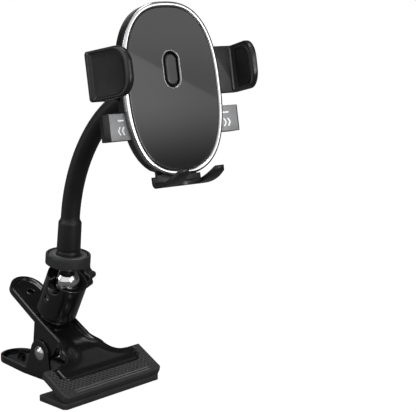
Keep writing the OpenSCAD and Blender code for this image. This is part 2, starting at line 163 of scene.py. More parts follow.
# ---------------------------------------------------------------- mesh helpers
def finish_mesh(me, sharp=32.0, merge=2e-6):
    bm = bmesh.new()
    bm.from_mesh(me)
    bmesh.ops.remove_doubles(bm, verts=bm.verts, dist=merge)
    bmesh.ops.dissolve_degenerate(bm, dist=1e-7, edges=bm.edges)
    bmesh.ops.recalc_face_normals(bm, faces=bm.faces)
    for f in bm.faces:
        f.smooth = True
    lim = math.radians(sharp)
    for e in bm.edges:
        e.smooth = e.calc_face_angle(0.0) < lim
    bm.to_mesh(me)
    bm.free()
    me.update()


def make(name, verts, faces, fr=ROW, mat=None, sharp=32.0):
    v = fr.pts(verts) * MM
    me = bpy.data.meshes.new(name)
    me.from_pydata(v.tolist(), [], faces)
    finish_mesh(me, sharp)
    ob = bpy.data.objects.new(name, me)
    bpy.context.scene.collection.objects.link(ob)
    if mat is not None:
        me.materials.append(mat)
    return ob


def quads(nr, nt, wrap_t=True, wrap_r=False, off=0):
    out = []
    for i in range(nr if wrap_r else nr - 1):
        a, b = off + i * nt, off + ((i + 1) % nr) * nt
        for j in range(nt if wrap_t else nt - 1):
            k = (j + 1) % nt
            out.append((a + j, a + k, b + k, b + j))
    return out


def stack(name, rings, fr=ROW, mat=None, loop=False, caps=(True, True), sharp=32.0):
    """A skin through rings of equal length; loop joins the last ring to the first."""
    rings = [np.asarray(r, float) for r in rings]
    n = len(rings[0])
    v = np.concatenate(rings)
    f = quads(len(rings), n, True, loop)
    if not loop:
        if caps[0]:
            f.append(tuple(range(n))[::-1])
        if caps[1]:
            f.append(tuple(range((len(rings) - 1) * n, len(rings) * n)))
    return make(name, v, f, fr, mat, sharp)


def bake(ob):
    """Applies the object's modifiers to its mesh."""
    bpy.context.view_layer.update()
    dg = bpy.context.evaluated_depsgraph_get()
    me = bpy.data.meshes.new_from_object(ob.evaluated_get(dg))
    ob.modifiers.clear()
    old = ob.data
    ob.data = me
    bpy.data.meshes.remove(old)
    return ob


def cut(ob, cutters, sharp=32.0):
    for c in cutters:
        m = ob.modifiers.new("cut", "BOOLEAN")
        m.object, m.operation, m.solver = c, "DIFFERENCE", "EXACT"
    bake(ob)
    for c in cutters:
        me = c.data
        bpy.data.objects.remove(c)
        bpy.data.meshes.remove(me)
    finish_mesh(ob.data, sharp)
    return ob


def soften(ob, width, segments=2, angle=35.0, sharp=50.0):
    """Rounds the object's edges."""
    m = ob.modifiers.new("bevel", "BEVEL")
    m.width, m.segments, m.limit_method = width * MM, segments, "ANGLE"
    m.angle_limit = math.radians(angle)
    m.use_clamp_overlap = True
    m.miter_outer = "MITER_ARC"
    bake(ob)
    finish_mesh(ob.data, sharp)
    return ob


def ball_cutter(fr, r):
    a = np.linspace(-90, 90, 25)
    rings = [circle(r * math.cos(math.radians(q)) + 1e-4, r * math.sin(math.radians(q)), 48) for q in a]
    return stack("cutter", rings, fr)


def box_cutter(lo, hi, fr=ROW):
    (a, b, c), (d, e, f) = lo, hi
    return stack("cutter", [[(a, b, c), (d, b, c), (d, e, c), (a, e, c)], [(a, b, f), (d, b, f), (d, e, f), (a, e, f)]], fr)


def rod_cutter(r, z0, z1, fr=ROW, n=48):
    return stack("cutter", [circle(r, z0, n), circle(r, z1, n)], fr)


def circle(r, z, n=96, c=(0, 0)):
    a = np.arange(n) * 2 * math.pi / n
    return np.stack([c[0] + r * np.cos(a), c[1] + r * np.sin(a), np.full(n, float(z))], 1)


def fillet(pts, n=5, closed=True):
    """Rounds a polygon of (x, y, radius) corners."""
    out = []
    m = len(pts)
    for i, q in enumerate(pts):
        p = np.array(q[:2], float)
        r = q[2] if len(q) > 2 else 0
        if r <= 0 or (not closed and i in (0, m - 1)):
            out.append(p)
            continue
        a, b = np.array(pts[i - 1][:2], float), np.array(pts[(i + 1) % m][:2], float)
        u, w = a - p, b - p
        lu, lw = np.linalg.norm(u), np.linalg.norm(w)
        u, w = u / lu, w / lw
        half = math.acos(max(-1, min(1, float(u @ w)))) / 2
        if half > math.pi / 2 - 1e-3:
            out.append(p)
            continue
        t = min(r / math.tan(half), 0.49 * lu, 0.49 * lw)
        rr = t * math.tan(half)
        c = p + (u + w) / np.linalg.norm(u + w) * rr / math.sin(half)
        s, e = p + u * t, p + w * t
        a0 = math.atan2(*(s - c)[::-1])
        a1 = math.atan2(*(e - c)[::-1])
        d = (a1 - a0 + math.pi) % (2 * math.pi) - math.pi
        for k in range(n + 1):
            g = a0 + d * k / n
            out.append(c + rr * np.array([math.cos(g), math.sin(g)]))
    return np.array(out)


def resample(poly, n, closed=True):
    p = np.asarray(poly, float)
    if closed:
        p = np.vstack([p, p[:1]])
    d = np.concatenate([[0], np.cumsum(np.linalg.norm(np.diff(p, axis=0), axis=1))])
    t = np.linspace(0, d[-1], n + 1)[:-1] if closed else np.linspace(0, d[-1], n)
    return np.stack([np.interp(t, d, p[:, k]) for k in range(p.shape[1])], 1)


def inset(poly, d):
    """Moves a counter-clockwise outline inwards by d."""
    p = np.asarray(poly, float)
    e = np.roll(p, -1, 0) - p
    e = e / np.maximum(np.linalg.norm(e, axis=1), 1e-9)[:, None]
    nrm = np.stack([-e[:, 1], e[:, 0]], 1)
    prev = np.roll(nrm, 1, 0)
    b = nrm + prev
    b = b / np.maximum((b * prev).sum(1), 0.35)[:, None]
    return p + b * d


def at(poly, d, z):
    q = inset(poly, d) if d else np.asarray(poly, float)
    return np.hstack([q, np.full((len(q), 1), float(z))])


def round_over(r, z, up=1, n=4, start=0.0):
    """(inset, z) pairs of a rounded edge that ends on the flat at z; up -1 gives the lower edge."""
    out = []
    for k in range(n + 1):
        g = math.pi / 2 * k / n
        out.append((start + r * (1 - math.cos(g)), z - up * r * (1 - math.sin(g))))
    return out if up > 0 else out[::-1]


def prism(name, poly, z0, z1, fr=ROW, mat=None, r=0.4, r0=None, n=3, extra=(), sharp=32.0):
    """An outline raised from z0 to z1 with rounded edges; extra adds further (inset, z) levels on top."""
    r0 = r if r0 is None else r0
    lv = round_over(r0, z0, -1, n) + round_over(r, z1, 1, n) + list(extra)
    return stack(name, [at(poly, d, z) for d, z in lv], fr, mat, sharp=sharp)


def lathe(name, prof, fr=ROW, mat=None, n=96, sharp=32.0, loop=False):
    """prof is a list of (radius, z) or (radius, z, corner radius)."""
    if any(len(q) > 2 for q in prof):
        prof = fillet([tuple(q) + (0,) * (3 - len(q)) for q in prof], 5, closed=loop)
    rings = [circle(max(q[0], 1e-4), q[1], n) for q in prof]
    return stack(name, rings, fr, mat, loop=loop, sharp=sharp)


def lobed(n, r0, r1, rc, count, soft=1.6):
    """Outline of a hub of radius r0 with lobes of radius r1 centred at rc."""
    a = np.arange(n) * 2 * math.pi / n
    step = 2 * math.pi / count
    b = (a + step / 2) % step - step / 2
    inside = r1 * r1 - (rc * np.sin(b)) ** 2
    lobe = np.where(inside > 0, rc * np.cos(b) + np.sqrt(np.maximum(inside, 0)), 0)
    lobe = np.where(inside > 0, lobe, 0.6 * r0)
    k = soft
    h = np.clip(0.5 + 0.5 * (lobe - r0) / k, 0, 1)
    r = r0 * (1 - h) + lobe * h + k * h * (1 - h)
    for _ in range(3):
        r = (np.roll(r, 1) + 2 * r + np.roll(r, -1)) / 4
    return np.stack([r * np.cos(a), r * np.sin(a)], 1)


def oval(w, l, n=192, e=2.53):
    a = (np.arange(1440) + 0.5) * 2 * math.pi / 1440
    c, s = np.cos(a), np.sin(a)
    p = np.stack([w / 2 * np.sign(c) * np.abs(c) ** (2 / e), l / 2 * np.sign(s) * np.abs(s) ** (2 / e)], 1)
    return resample(p, n)


def stadium(w, l, n=96, c=(0, 0)):
    a = np.linspace(0, math.pi, 40)
    h = (l - w) / 2
    p = np.concatenate([
        np.stack([w / 2 * np.cos(a), h + w / 2 * np.sin(a)], 1),
        np.stack([-w / 2 * np.cos(a), -h - w / 2 * np.sin(a)], 1)])
    return resample(p, n) + np.array(c)


def tube(name, path, radii, fr=ROW, mat=None, n=24, closed=False, up=None, caps=True, sharp=50.0):
    """A round skin along a path of points."""
    p = np.asarray(path, float)
    m = len(p)
    r = np.full(m, float(radii)) if np.isscalar(radii) else np.asarray(radii, float)
    tan = np.roll(p, -1, 0) - np.roll(p, 1, 0) if closed else np.gradient(p, axis=0)
    tan /= np.linalg.norm(tan, axis=1)[:, None]
    u = np.array(up if up is not None else (0.3, 0.5, 0.81), float)
    rings = []
    a = np.arange(n) * 2 * math.pi / n
    for i in range(m):
        u = u - tan[i] * (u @ tan[i])
        u /= np.linalg.norm(u)
        w = np.cross(tan[i], u)
        rings.append(p[i] + r[i] * (np.cos(a)[:, None] * u + np.sin(a)[:, None] * w))
    return stack(name, rings, fr, mat, loop=closed, caps=(caps, caps), sharp=sharp)


def smooth01(a, b, x):
    t = np.clip((x - a) / (b - a), 0, 1)
    return t * t * (3 - 2 * t)


def join(obs, name):
    """Joins meshes into the first one."""
    verts, faces, mats, idx = [], [], [], []
    off = 0
    bm = bmesh.new()
    for o in obs:
        base = len(mats)
        for m in o.data.materials:
            if m not in mats:
                mats.append(m)
        remap = [mats.index(m) for m in o.data.materials]
        tmp = o.data.copy()
        for poly in tmp.polygons:
            poly.material_index = remap[poly.material_index] if remap else 0
        bm.from_mesh(tmp)
        bpy.data.meshes.remove(tmp)
    me = bpy.data.meshes.new(name)
    bm.to_mesh(me)
    bm.free()
    for m in mats:
        me.materials.append(m)
    for o in obs:
        old = o.data
        bpy.data.objects.remove(o)
        bpy.data.meshes.remove(old)
    ob = bpy.data.objects.new(name, me)
    bpy.context.scene.collection.objects.link(ob)
    return ob


def put(ob, body, nodes=()):
    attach(ob, body)
    if nodes:
        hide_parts(*nodes)
    return ob


# ---------------------------------------------------------------- materials
def material(name, color, rough, metal=0.0, spec=0.5, coat=0.0, coat_rough=0.08, sheen=0.0,
             grain=900.0, bump=0.00002, rough_var=0.08, tone=0.25, blotch=60.0, extra=None):
    m = bpy.data.materials.new(name)
    m.use_nodes = True
    nt = m.node_tree
    b = nt.nodes["Principled BSDF"]
    b.inputs["Metallic"].default_value = metal
    b.inputs["Specular IOR Level"].default_value = spec
    b.inputs["Coat Weight"].default_value = coat
    b.inputs["Coat Roughness"].default_value = coat_rough
    b.inputs["Sheen Weight"].default_value = sheen
    tc = nt.nodes.new("ShaderNodeTexCoord")

    def noise(scale, detail=3.0, rough_=0.55):
        t = nt.nodes.new("ShaderNodeTexNoise")
        t.inputs["Scale"].default_value = scale
        t.inputs["Detail"].default_value = detail
        t.inputs["Roughness"].default_value = rough_
        nt.links.new(tc.outputs["Object"], t.inputs["Vector"])
        return t.outputs["Fac"]

    def ramp(src, lo, hi):
        r = nt.nodes.new("ShaderNodeMapRange")
        r.inputs["From Min"].default_value = 0.3
        r.inputs["From Max"].default_value = 0.7
        r.inputs["To Min"].default_value = lo
        r.inputs["To Max"].default_value = hi
        nt.links.new(src, r.inputs["Value"])
        return r.outputs["Result"]

    big = noise(blotch, 4.0)
    fine = noise(grain, 2.0)
    mix = nt.nodes.new("ShaderNodeMix")
    mix.data_type = "RGBA"
    c = np.array(color, float)
    mix.inputs["A"].default_value = (*np.clip(c * (1 - tone / 2), 0, 1), 1)
    mix.inputs["B"].default_value = (*np.clip(c * (1 + tone / 2), 0, 1), 1)
    nt.links.new(ramp(big, 0, 1), mix.inputs["Factor"])
    nt.links.new(mix.outputs["Result"], b.inputs["Base Color"])
    nt.links.new(ramp(big, max(0.02, rough - rough_var / 2), min(1, rough + rough_var / 2)), b.inputs["Roughness"])
    if bump:
        bp = nt.nodes.new("ShaderNodeBump")
        bp.inputs["Strength"].default_value = 1.0
        bp.inputs["Distance"].default_value = bump
        nt.links.new(fine, bp.inputs["Height"])
        nt.links.new(bp.outputs["Normal"], b.inputs["Normal"])
    if extra:
        extra(nt, b, tc, mix, noise, ramp)
    return m


def worn(amount, color, scale=140.0):
    """Light wear: small scattered scuffs in a lighter tone."""
    def add(nt, b, tc, mix, noise, ramp):
        n = noise(scale, 6.0, 0.7)
        r = nt.nodes.new("ShaderNodeMapRange")
        r.inputs["From Min"].default_value = 0.66
        r.inputs["From Max"].default_value = 0.74
        r.inputs["To Max"].default_value = amount
        nt.links.new(n, r.inputs["Value"])
        m2 = nt.nodes.new("ShaderNodeMix")
        m2.data_type = "RGBA"
        m2.inputs["B"].default_value = (*color, 1)
        nt.links.new(r.outputs["Result"], m2.inputs["Factor"])
        nt.links.new(mix.outputs["Result"], m2.inputs["A"])
        nt.links.new(m2.outputs["Result"], b.inputs["Base Color"])
    return add


def brushed(direction, scale=1200.0, bump=0.000006):
    """Fine lines across one direction of the metal."""
    def add(nt, b, tc, mix, noise, ramp):
        mp = nt.nodes.new("ShaderNodeMapping")
        mp.inputs["Scale"].default_value = direction
        nt.links.new(tc.outputs["Object"], mp.inputs["Vector"])
        t = nt.nodes.new("ShaderNodeTexNoise")
        t.inputs["Scale"].default_value = scale
        t.inputs["Detail"].default_value = 2.0
        nt.links.new(mp.outputs["Vector"], t.inputs["Vector"])
        bp = nt.nodes.new("ShaderNodeBump")
        bp.inputs["Distance"].default_value = bump
        nt.links.new(t.outputs["Fac"], bp.inputs["Height"])
        nt.links.new(bp.outputs["Normal"], b.inputs["Normal"])
    return add


def painted_light_tint(nt, b, tc, mix, noise, ramp):
    """Base colour made darker or lighter by the mesh's painted shade and highlight value, 0 leaves it as it is."""
    an = nt.nodes.new("ShaderNodeAttribute")
    an.attribute_name = "painted_shade_and_highlight"
    one = nt.nodes.new("ShaderNodeMath")
    one.inputs[1].default_value = 1.0
    nt.links.new(an.outputs["Fac"], one.inputs[0])
    sc = nt.nodes.new("ShaderNodeVectorMath")
    sc.operation = "SCALE"
    nt.links.new(mix.outputs["Result"], sc.inputs[0])
    nt.links.new(one.outputs["Value"], sc.inputs["Scale"])
    nt.links.new(sc.outputs["Vector"], b.inputs["Base Color"])


M = {}
M["jaw_paint"] = material("jaw_paint", (0.0065, 0.0065, 0.007), 0.22, coat=0.4, coat_rough=0.12, grain=700, bump=0.000003, extra=worn(0.05, (0.03, 0.03, 0.032), 220))
M["ear_paint"] = material("ear_paint", (0.012, 0.012, 0.0125), 0.42, coat=0.15, coat_rough=0.3, grain=1500, bump=0.00003)
# pad_rubber carries painted light: painted shade in the knurl's pits and painted highlight on its crests and ridges
M["pad_rubber"] = material("pad_rubber", (0.04, 0.04, 0.0405), 0.55, spec=0.4, grain=1600, bump=0.00002, rough_var=0.12, extra=painted_light_tint)
M["pad_edge"] = material("pad_edge", (0.036, 0.036, 0.037), 0.48, spec=0.45, grain=1800, bump=0.00002)
M["rivet_chrome"] = material("rivet_chrome", (0.86, 0.86, 0.87), 0.14, metal=1.0, grain=500, bump=0.00001, tone=0.08)
M["spring_steel"] = material("spring_steel", (0.34, 0.34, 0.35), 0.34, metal=1.0, grain=900, bump=0.00002, tone=0.3, extra=worn(0.4, (0.12, 0.1, 0.09), 400))
M["screw_steel"] = material("screw_steel", (0.42, 0.42, 0.43), 0.3, metal=1.0, grain=1200, bump=0.00001, tone=0.2)
M["housing_paint"] = material("housing_paint", (0.006, 0.006, 0.0065), 0.15, coat=0.6, coat_rough=0.06, grain=500, bump=0.000006, rough_var=0.05)
M["seat_brass"] = material("seat_brass", (0.62, 0.47, 0.22), 0.35, metal=1.0, grain=900, bump=0.00001)
M["ball_chrome"] = material("ball_chrome", (0.9, 0.9, 0.91), 0.05, metal=1.0, grain=200, bump=0.000002, rough_var=0.03, tone=0.04)
M["knob_plastic"] = material("knob_plastic", (0.022, 0.022, 0.0225), 0.34, grain=1500, bump=0.00002)
M["disc_metal"] = material("disc_metal", (0.03, 0.03, 0.0305), 0.46, spec=0.5, grain=1400, bump=0.00003)
M["neck_rubber"] = material("neck_rubber", (0.011, 0.011, 0.0115), 0.44, spec=0.42, sheen=0.06, grain=1100, bump=0.00003, rough_var=0.1)
M["shell_plastic"] = material("shell_plastic", (0.012, 0.012, 0.0125), 0.32, coat=0.25, coat_rough=0.2, grain=1300, bump=0.000012)
M["patch_plastic"] = material("patch_plastic", (0.055, 0.055, 0.057), 0.5, grain=1500, bump=0.00002)
M["trim_chrome"] = material("trim_chrome", (0.93, 0.93, 0.94), 0.12, metal=1.0, grain=600, bump=0.000003, tone=0.04)
M["trim_edge"] = material("trim_edge", (0.36, 0.36, 0.37), 0.25, metal=1.0, grain=600, bump=0.000004, tone=0.1)
M["button_black"] = material("button_black", (0.012, 0.012, 0.012), 0.3, coat=0.3, coat_rough=0.12, grain=1500, bump=0.000008)
M["inner_plastic"] = material("inner_plastic", (0.5, 0.5, 0.48), 0.45, grain=900, bump=0.00002)
M["arm_plastic"] = material("arm_plastic", (0.014, 0.014, 0.0145), 0.3, coat=0.15, coat_rough=0.2, grain=1400, bump=0.000015)
M["arm_field"] = material("arm_field", (0.006, 0.006, 0.0065), 0.5, spec=0.4, grain=1700, bump=0.00003)
M["teeth_rubber"] = material("teeth_rubber", (0.14, 0.14, 0.142), 0.4, grain=1500, bump=0.00001)
M["grip_rubber"] = material("grip_rubber", (0.007, 0.007, 0.0072), 0.58, spec=0.4, grain=1500, bump=0.00003)
M["lever_silver"] = material("lever_silver", (0.3, 0.3, 0.305), 0.42, metal=0.6, grain=1600, bump=0.00002, tone=0.3)
M["mark_white"] = material("mark_white", (0.95, 0.95, 0.95), 0.4, metal=0.55, grain=1000, bump=0.000005, tone=0.03)


def panel_extra(nt, b, tc, mix, noise, ramp):
    """Very fine woven sheen under the clear face."""
    w = nt.nodes.new("ShaderNodeTexWave")
    w.wave_type = "BANDS"
    w.bands_direction = "DIAGONAL"
    w.inputs["Scale"].default_value = 900.0
    w.inputs["Distortion"].default_value = 0.4
    nt.links.new(tc.outputs["Object"], w.inputs["Vector"])
    m2 = nt.nodes.new("ShaderNodeMix")
    m2.data_type = "RGBA"
    m2.blend_type = "MULTIPLY"
    m2.inputs["Factor"].default_value = 0.12
    nt.links.new(mix.outputs["Result"], m2.inputs["A"])
    nt.links.new(w.outputs["Color"], m2.inputs["B"])
    nt.links.new(m2.outputs["Result"], b.inputs["Base Color"])


M["panel_gloss"] = material("panel_gloss", (0.018, 0.018, 0.0185), 0.03, spec=0.6, coat=0.4, coat_rough=0.02, grain=200, bump=0, rough_var=0.01, tone=0.1, extra=panel_extra)


# ---------------------------------------------------------------- clamp: pressed steel jaws
def half_width(s, hw, f=9.0):
    s = np.asarray(s, float)
    w = np.full_like(s, float(hw))
    w = np.where(s <= f + 4, 31 + np.sqrt(np.clip(16 - (f + 4 - s) ** 2, 0, None)), w)
    w = np.where((s > f + 4) & (s <= 25), 35.0, w)
    w = np.where((s > 25) & (s <= 29), 31 + np.sqrt(np.clip(16 - (s - 25) ** 2, 0, None)), w)
    w = np.where((s > 29) & (s <= 41), 31 - np.sqrt(np.clip(144 - (41 - s) ** 2, 0, None)), w)
    w = np.where((s > 41) & (s <= 52), 19 + (hw - 19) * smooth01(41, 52, s) ** 0.8, w)
    w = np.where((s > 84) & (s <= 111.47), hw + (13.49 - hw) * (s - 84) / 27.47, w)
    w = np.where(s > 111.47, np.sqrt(np.clip(13.5 ** 2 - (s - 111) ** 2, 0, None)), w)
    return w


def near(pts, line):
    """Distance of points to a closed polyline."""
    a, b = line, np.roll(line, -1, 0)
    d = b - a
    l2 = np.maximum((d ** 2).sum(1), 1e-12)
    out = np.full(len(pts), 1e9)
    for i in range(len(a)):
        t = np.clip(((pts - a[i]) @ d[i]) / l2[i], 0, 1)
        q = pts - (a[i] + t[:, None] * d[i])
        out = np.minimum(out, (q ** 2).sum(1))
    return np.sqrt(out)


def jaw_sheet(name, fr, hw, tp, rise, dish, tuck, mat, front=9.0):
    rho = 1.0
    e0 = [0, .06, .22, .45, .72, 1.0, 1.5, 2.2, 3.0, 4.0, 5.0, 6.0]
    s_mid = np.concatenate([
        front + np.array(e0), np.arange(front + 7, 24.9, 1.0), 25 + np.array([0, 1, 2, 2.8, 3.4, 3.8, 4.0, 4.03, 4.12, 4.3, 4.6, 5.1, 5.8]),
        np.arange(31.6, 50, 0.9), np.arange(50, 56, 0.4), np.arange(56, 71, 0.8), np.arange(71, 83, 0.5),
        np.arange(83, 111, 1.3), 111.5 + 13.0 * np.sin(np.linspace(0, math.pi / 2, 26))])
    s = np.unique(np.round(s_mid, 4))
    s[-1] = 124.5
    w = half_width(s, hw, front)
    w[-1] = 0
    k0 = np.array(e0)
    inner_f = np.linspace(0, 1, 17)[1:-1]
    cols = []
    for i in range(len(s)):
        sc = min(1.0, w[i] / 9.0)
        left = -w[i] + k0 * sc
        a = left[-1]
        mid = a + (-2 * a) * inner_f
        cols.append(np.concatenate([left, mid, -left[::-1]]))
    x = np.array(cols)
    ns, nx = x.shape
    ss = np.repeat(s[:, None], nx, 1)
    sl = np.linspace(front, 124.5, 900)
    fine = np.unique(np.concatenate([sl, s, 124.5 - np.geomspace(0.0005, 2, 40)]))
    fw = half_width(fine, hw, front)
    line = np.concatenate([np.stack([fw, fine], 1), np.stack([-fw[::-1], fine[::-1]], 1)])

    def height(px, ps):
        d = near(np.stack([px, ps], 1), line)
        t = np.full_like(d, tp)
        dd = np.clip(d, 0, rho)
        t = tp - rho + np.sqrt(np.clip(rho ** 2 - (rho - dd) ** 2, 0, None))
        handle = smooth01(36, 50, ps)
        t = t - dish * handle * smooth01(2.4, 5.2, d)
        wing = 1 - smooth01(27, 40, ps)
        t = t - tuck * wing * (1 - smooth01(-0.3, 2.0, d))
        sweep = smooth01(20, 36, ps) * (1 - smooth01(40, 56, ps))
        t = t + rise * sweep * smooth01(0.5, 12, d)
        return t, d

    t_out, d_out = height(x.ravel(), ss.ravel())
    t_out = t_out.reshape(x.shape)
    # inner skin: the outline drawn in by the sheet's thickness
    wi = np.maximum(w - STEEL, 0)
    ratio = np.where(w > 0, wi / np.maximum(w, 1e-6), 0)
    xi = x * ratio[:, None]
    si = s + STEEL * (1 - np.clip((s - front) / 7, 0, 1)) - STEEL * np.clip((s - 112) / 12.5, 0, 1)
    ssi = np.repeat(si[:, None], nx, 1)
    t_in, _ = height(xi.ravel(), ssi.ravel())
    t_in = t_in.reshape(x.shape) - STEEL

    # boundary ring, once around
    ring = [(0, j) for j in range(nx)] + [(i, nx - 1) for i in range(1, ns)] + [(i, 0) for i in range(ns - 2, 0, -1)]
    ri = np.array([q[0] for q in ring])
    rj = np.array([q[1] for q in ring])
    bx, bs = x[ri, rj], ss[ri, rj]
    ix, is_ = xi[ri, rj], ssi[ri, rj]
    t_edge = t_out[ri, rj]
    low = tp - STEEL - (5.5 - STEEL) * smooth01(31, 39, bs)
    side = (ri > 0)
    ear = np.full_like(bs, 99.0)
    c = HINGE_S
    b = np.abs(bs - c)
    inside = b <= 10
    ear = np.where(inside, -HINGE_T - np.sqrt(np.clip(100 - b ** 2, 0, None)), ear)
    flank_lo = (bs >= 50) & (bs < c - 9.7)
    ear = np.where(flank_lo, tp - 0.5 + (-HINGE_T - 2.42 - tp + 0.5) * (bs - 50) / (c - 9.7 - 50), ear)
    flank_hi = (bs > c + 9.7) & (bs <= 82)
    ear = np.where(flank_hi, tp - 0.5 + (-HINGE_T - 2.42 - tp + 0.5) * (82 - bs) / (82 - c - 9.7), ear)
    bottom = np.where(side & (ear < low), ear, low)
    verts = [np.stack([x.ravel(), ss.ravel(), t_out.ravel()], 1)]
    faces = quads(ns, nx, False, False)
    base = ns * nx
    nb = len(ring)
    # wall levels between the top skin's edge and the bottom edge, then up inside
    seq = []
    rb = 0.35
    nxy = np.stack([ix - bx, is_ - bs], 1)
    for f in (0.12, 0.3, 0.5, 0.7, 0.85, 0.95):
        seq.append((0.0, t_edge + (bottom + rb - t_edge) * f))
    for g in (0.0, 0.5, 1.0):
        a = g * math.pi / 2
        seq.append((rb / STEEL * (1 - math.cos(a)), bottom + rb * (1 - math.sin(a))))
    for g in (0.0, 0.5, 1.0):
        a = g * math.pi / 2
        seq.append((1 - rb / STEEL * (1 - math.sin(a)), bottom + rb * (1 - math.cos(a))))
    t_iedge = t_in[ri, rj]
    top_in = np.maximum(t_iedge, bottom + rb)
    for f in (0.3, 0.6, 0.85):
        seq.append((1.0, bottom + rb + (top_in - bottom - rb) * f))
    for share, t in seq:
        t = np.minimum(t, t_edge) if share == 0 else t
        verts.append(np.stack([bx + nxy[:, 0] * share, bs + nxy[:, 1] * share, t], 1))
    inner_off = base + nb * len(seq)
    verts.append(np.stack([xi.ravel(), ssi.ravel(), t_in.ravel()], 1))
    outer_idx = ri * nx + rj
    inner_idx = inner_off + ri * nx + rj
    rows = [outer_idx] + [base + nb * k + np.arange(nb) for k in range(len(seq))] + [inner_idx]
    for a, bb in zip(rows[:-1], rows[1:]):
        for j in range(nb):
            k = (j + 1) % nb
            faces.append((int(a[j]), int(a[k]), int(bb[k]), int(bb[j])))
    faces += [tuple(reversed(f)) for f in quads(ns, nx, False, False, inner_off)]
    return make(name, np.concatenate(verts), faces, fr, mat, 38)


def hole_ring(name, fr, r, z, mat):
    return lathe(name, [(r - 0.05, z - 4.6), (r + 0.45, z - 4.6), (r + 0.5, z - 1.0), (r + 1.15, z - 0.3), (r + 1.0, z + 0.08), (r + 0.6, z + 0.25), (r + 0.3, z + 0.1), (r, z - 0.5)], fr, mat, 48, loop=True)


up_steel = jaw_sheet("upper_jaw_steel", upper, UP_HW, UP_T, 2.2, 1.5, 0.4, M["jaw_paint"], 14.5)
cut(up_steel, [rod_cutter(2.6, -4, 10, upper.tr((0, 107, 0))), rod_cutter(3.1, -4, 12, upper.tr((0, HEAD_S, 0)))], 38)
put(up_steel, "upper_clamp", ["upper_jaw"])
low_steel = jaw_sheet("lower_jaw_steel", lower, LOW_HW, PAD_H, 0.0, 1.2, 0.0, M["jaw_paint"])
cut(low_steel, [rod_cutter(2.6, -4, 10, lower.tr((0, 107, 0)))], 38)
put(low_steel, "lower_clamp", ["lower_jaw"])
put(hole_ring("upper_hole_ring", upper.tr((0, 107, 0)), 2.6, UP_T - 1.5, M["jaw_paint"]), "upper_clamp")
put(hole_ring("lower_hole_ring", lower.tr((0, 107, 0)), 2.6, PAD_H - 1.25, M["jaw_paint"]), "lower_clamp")


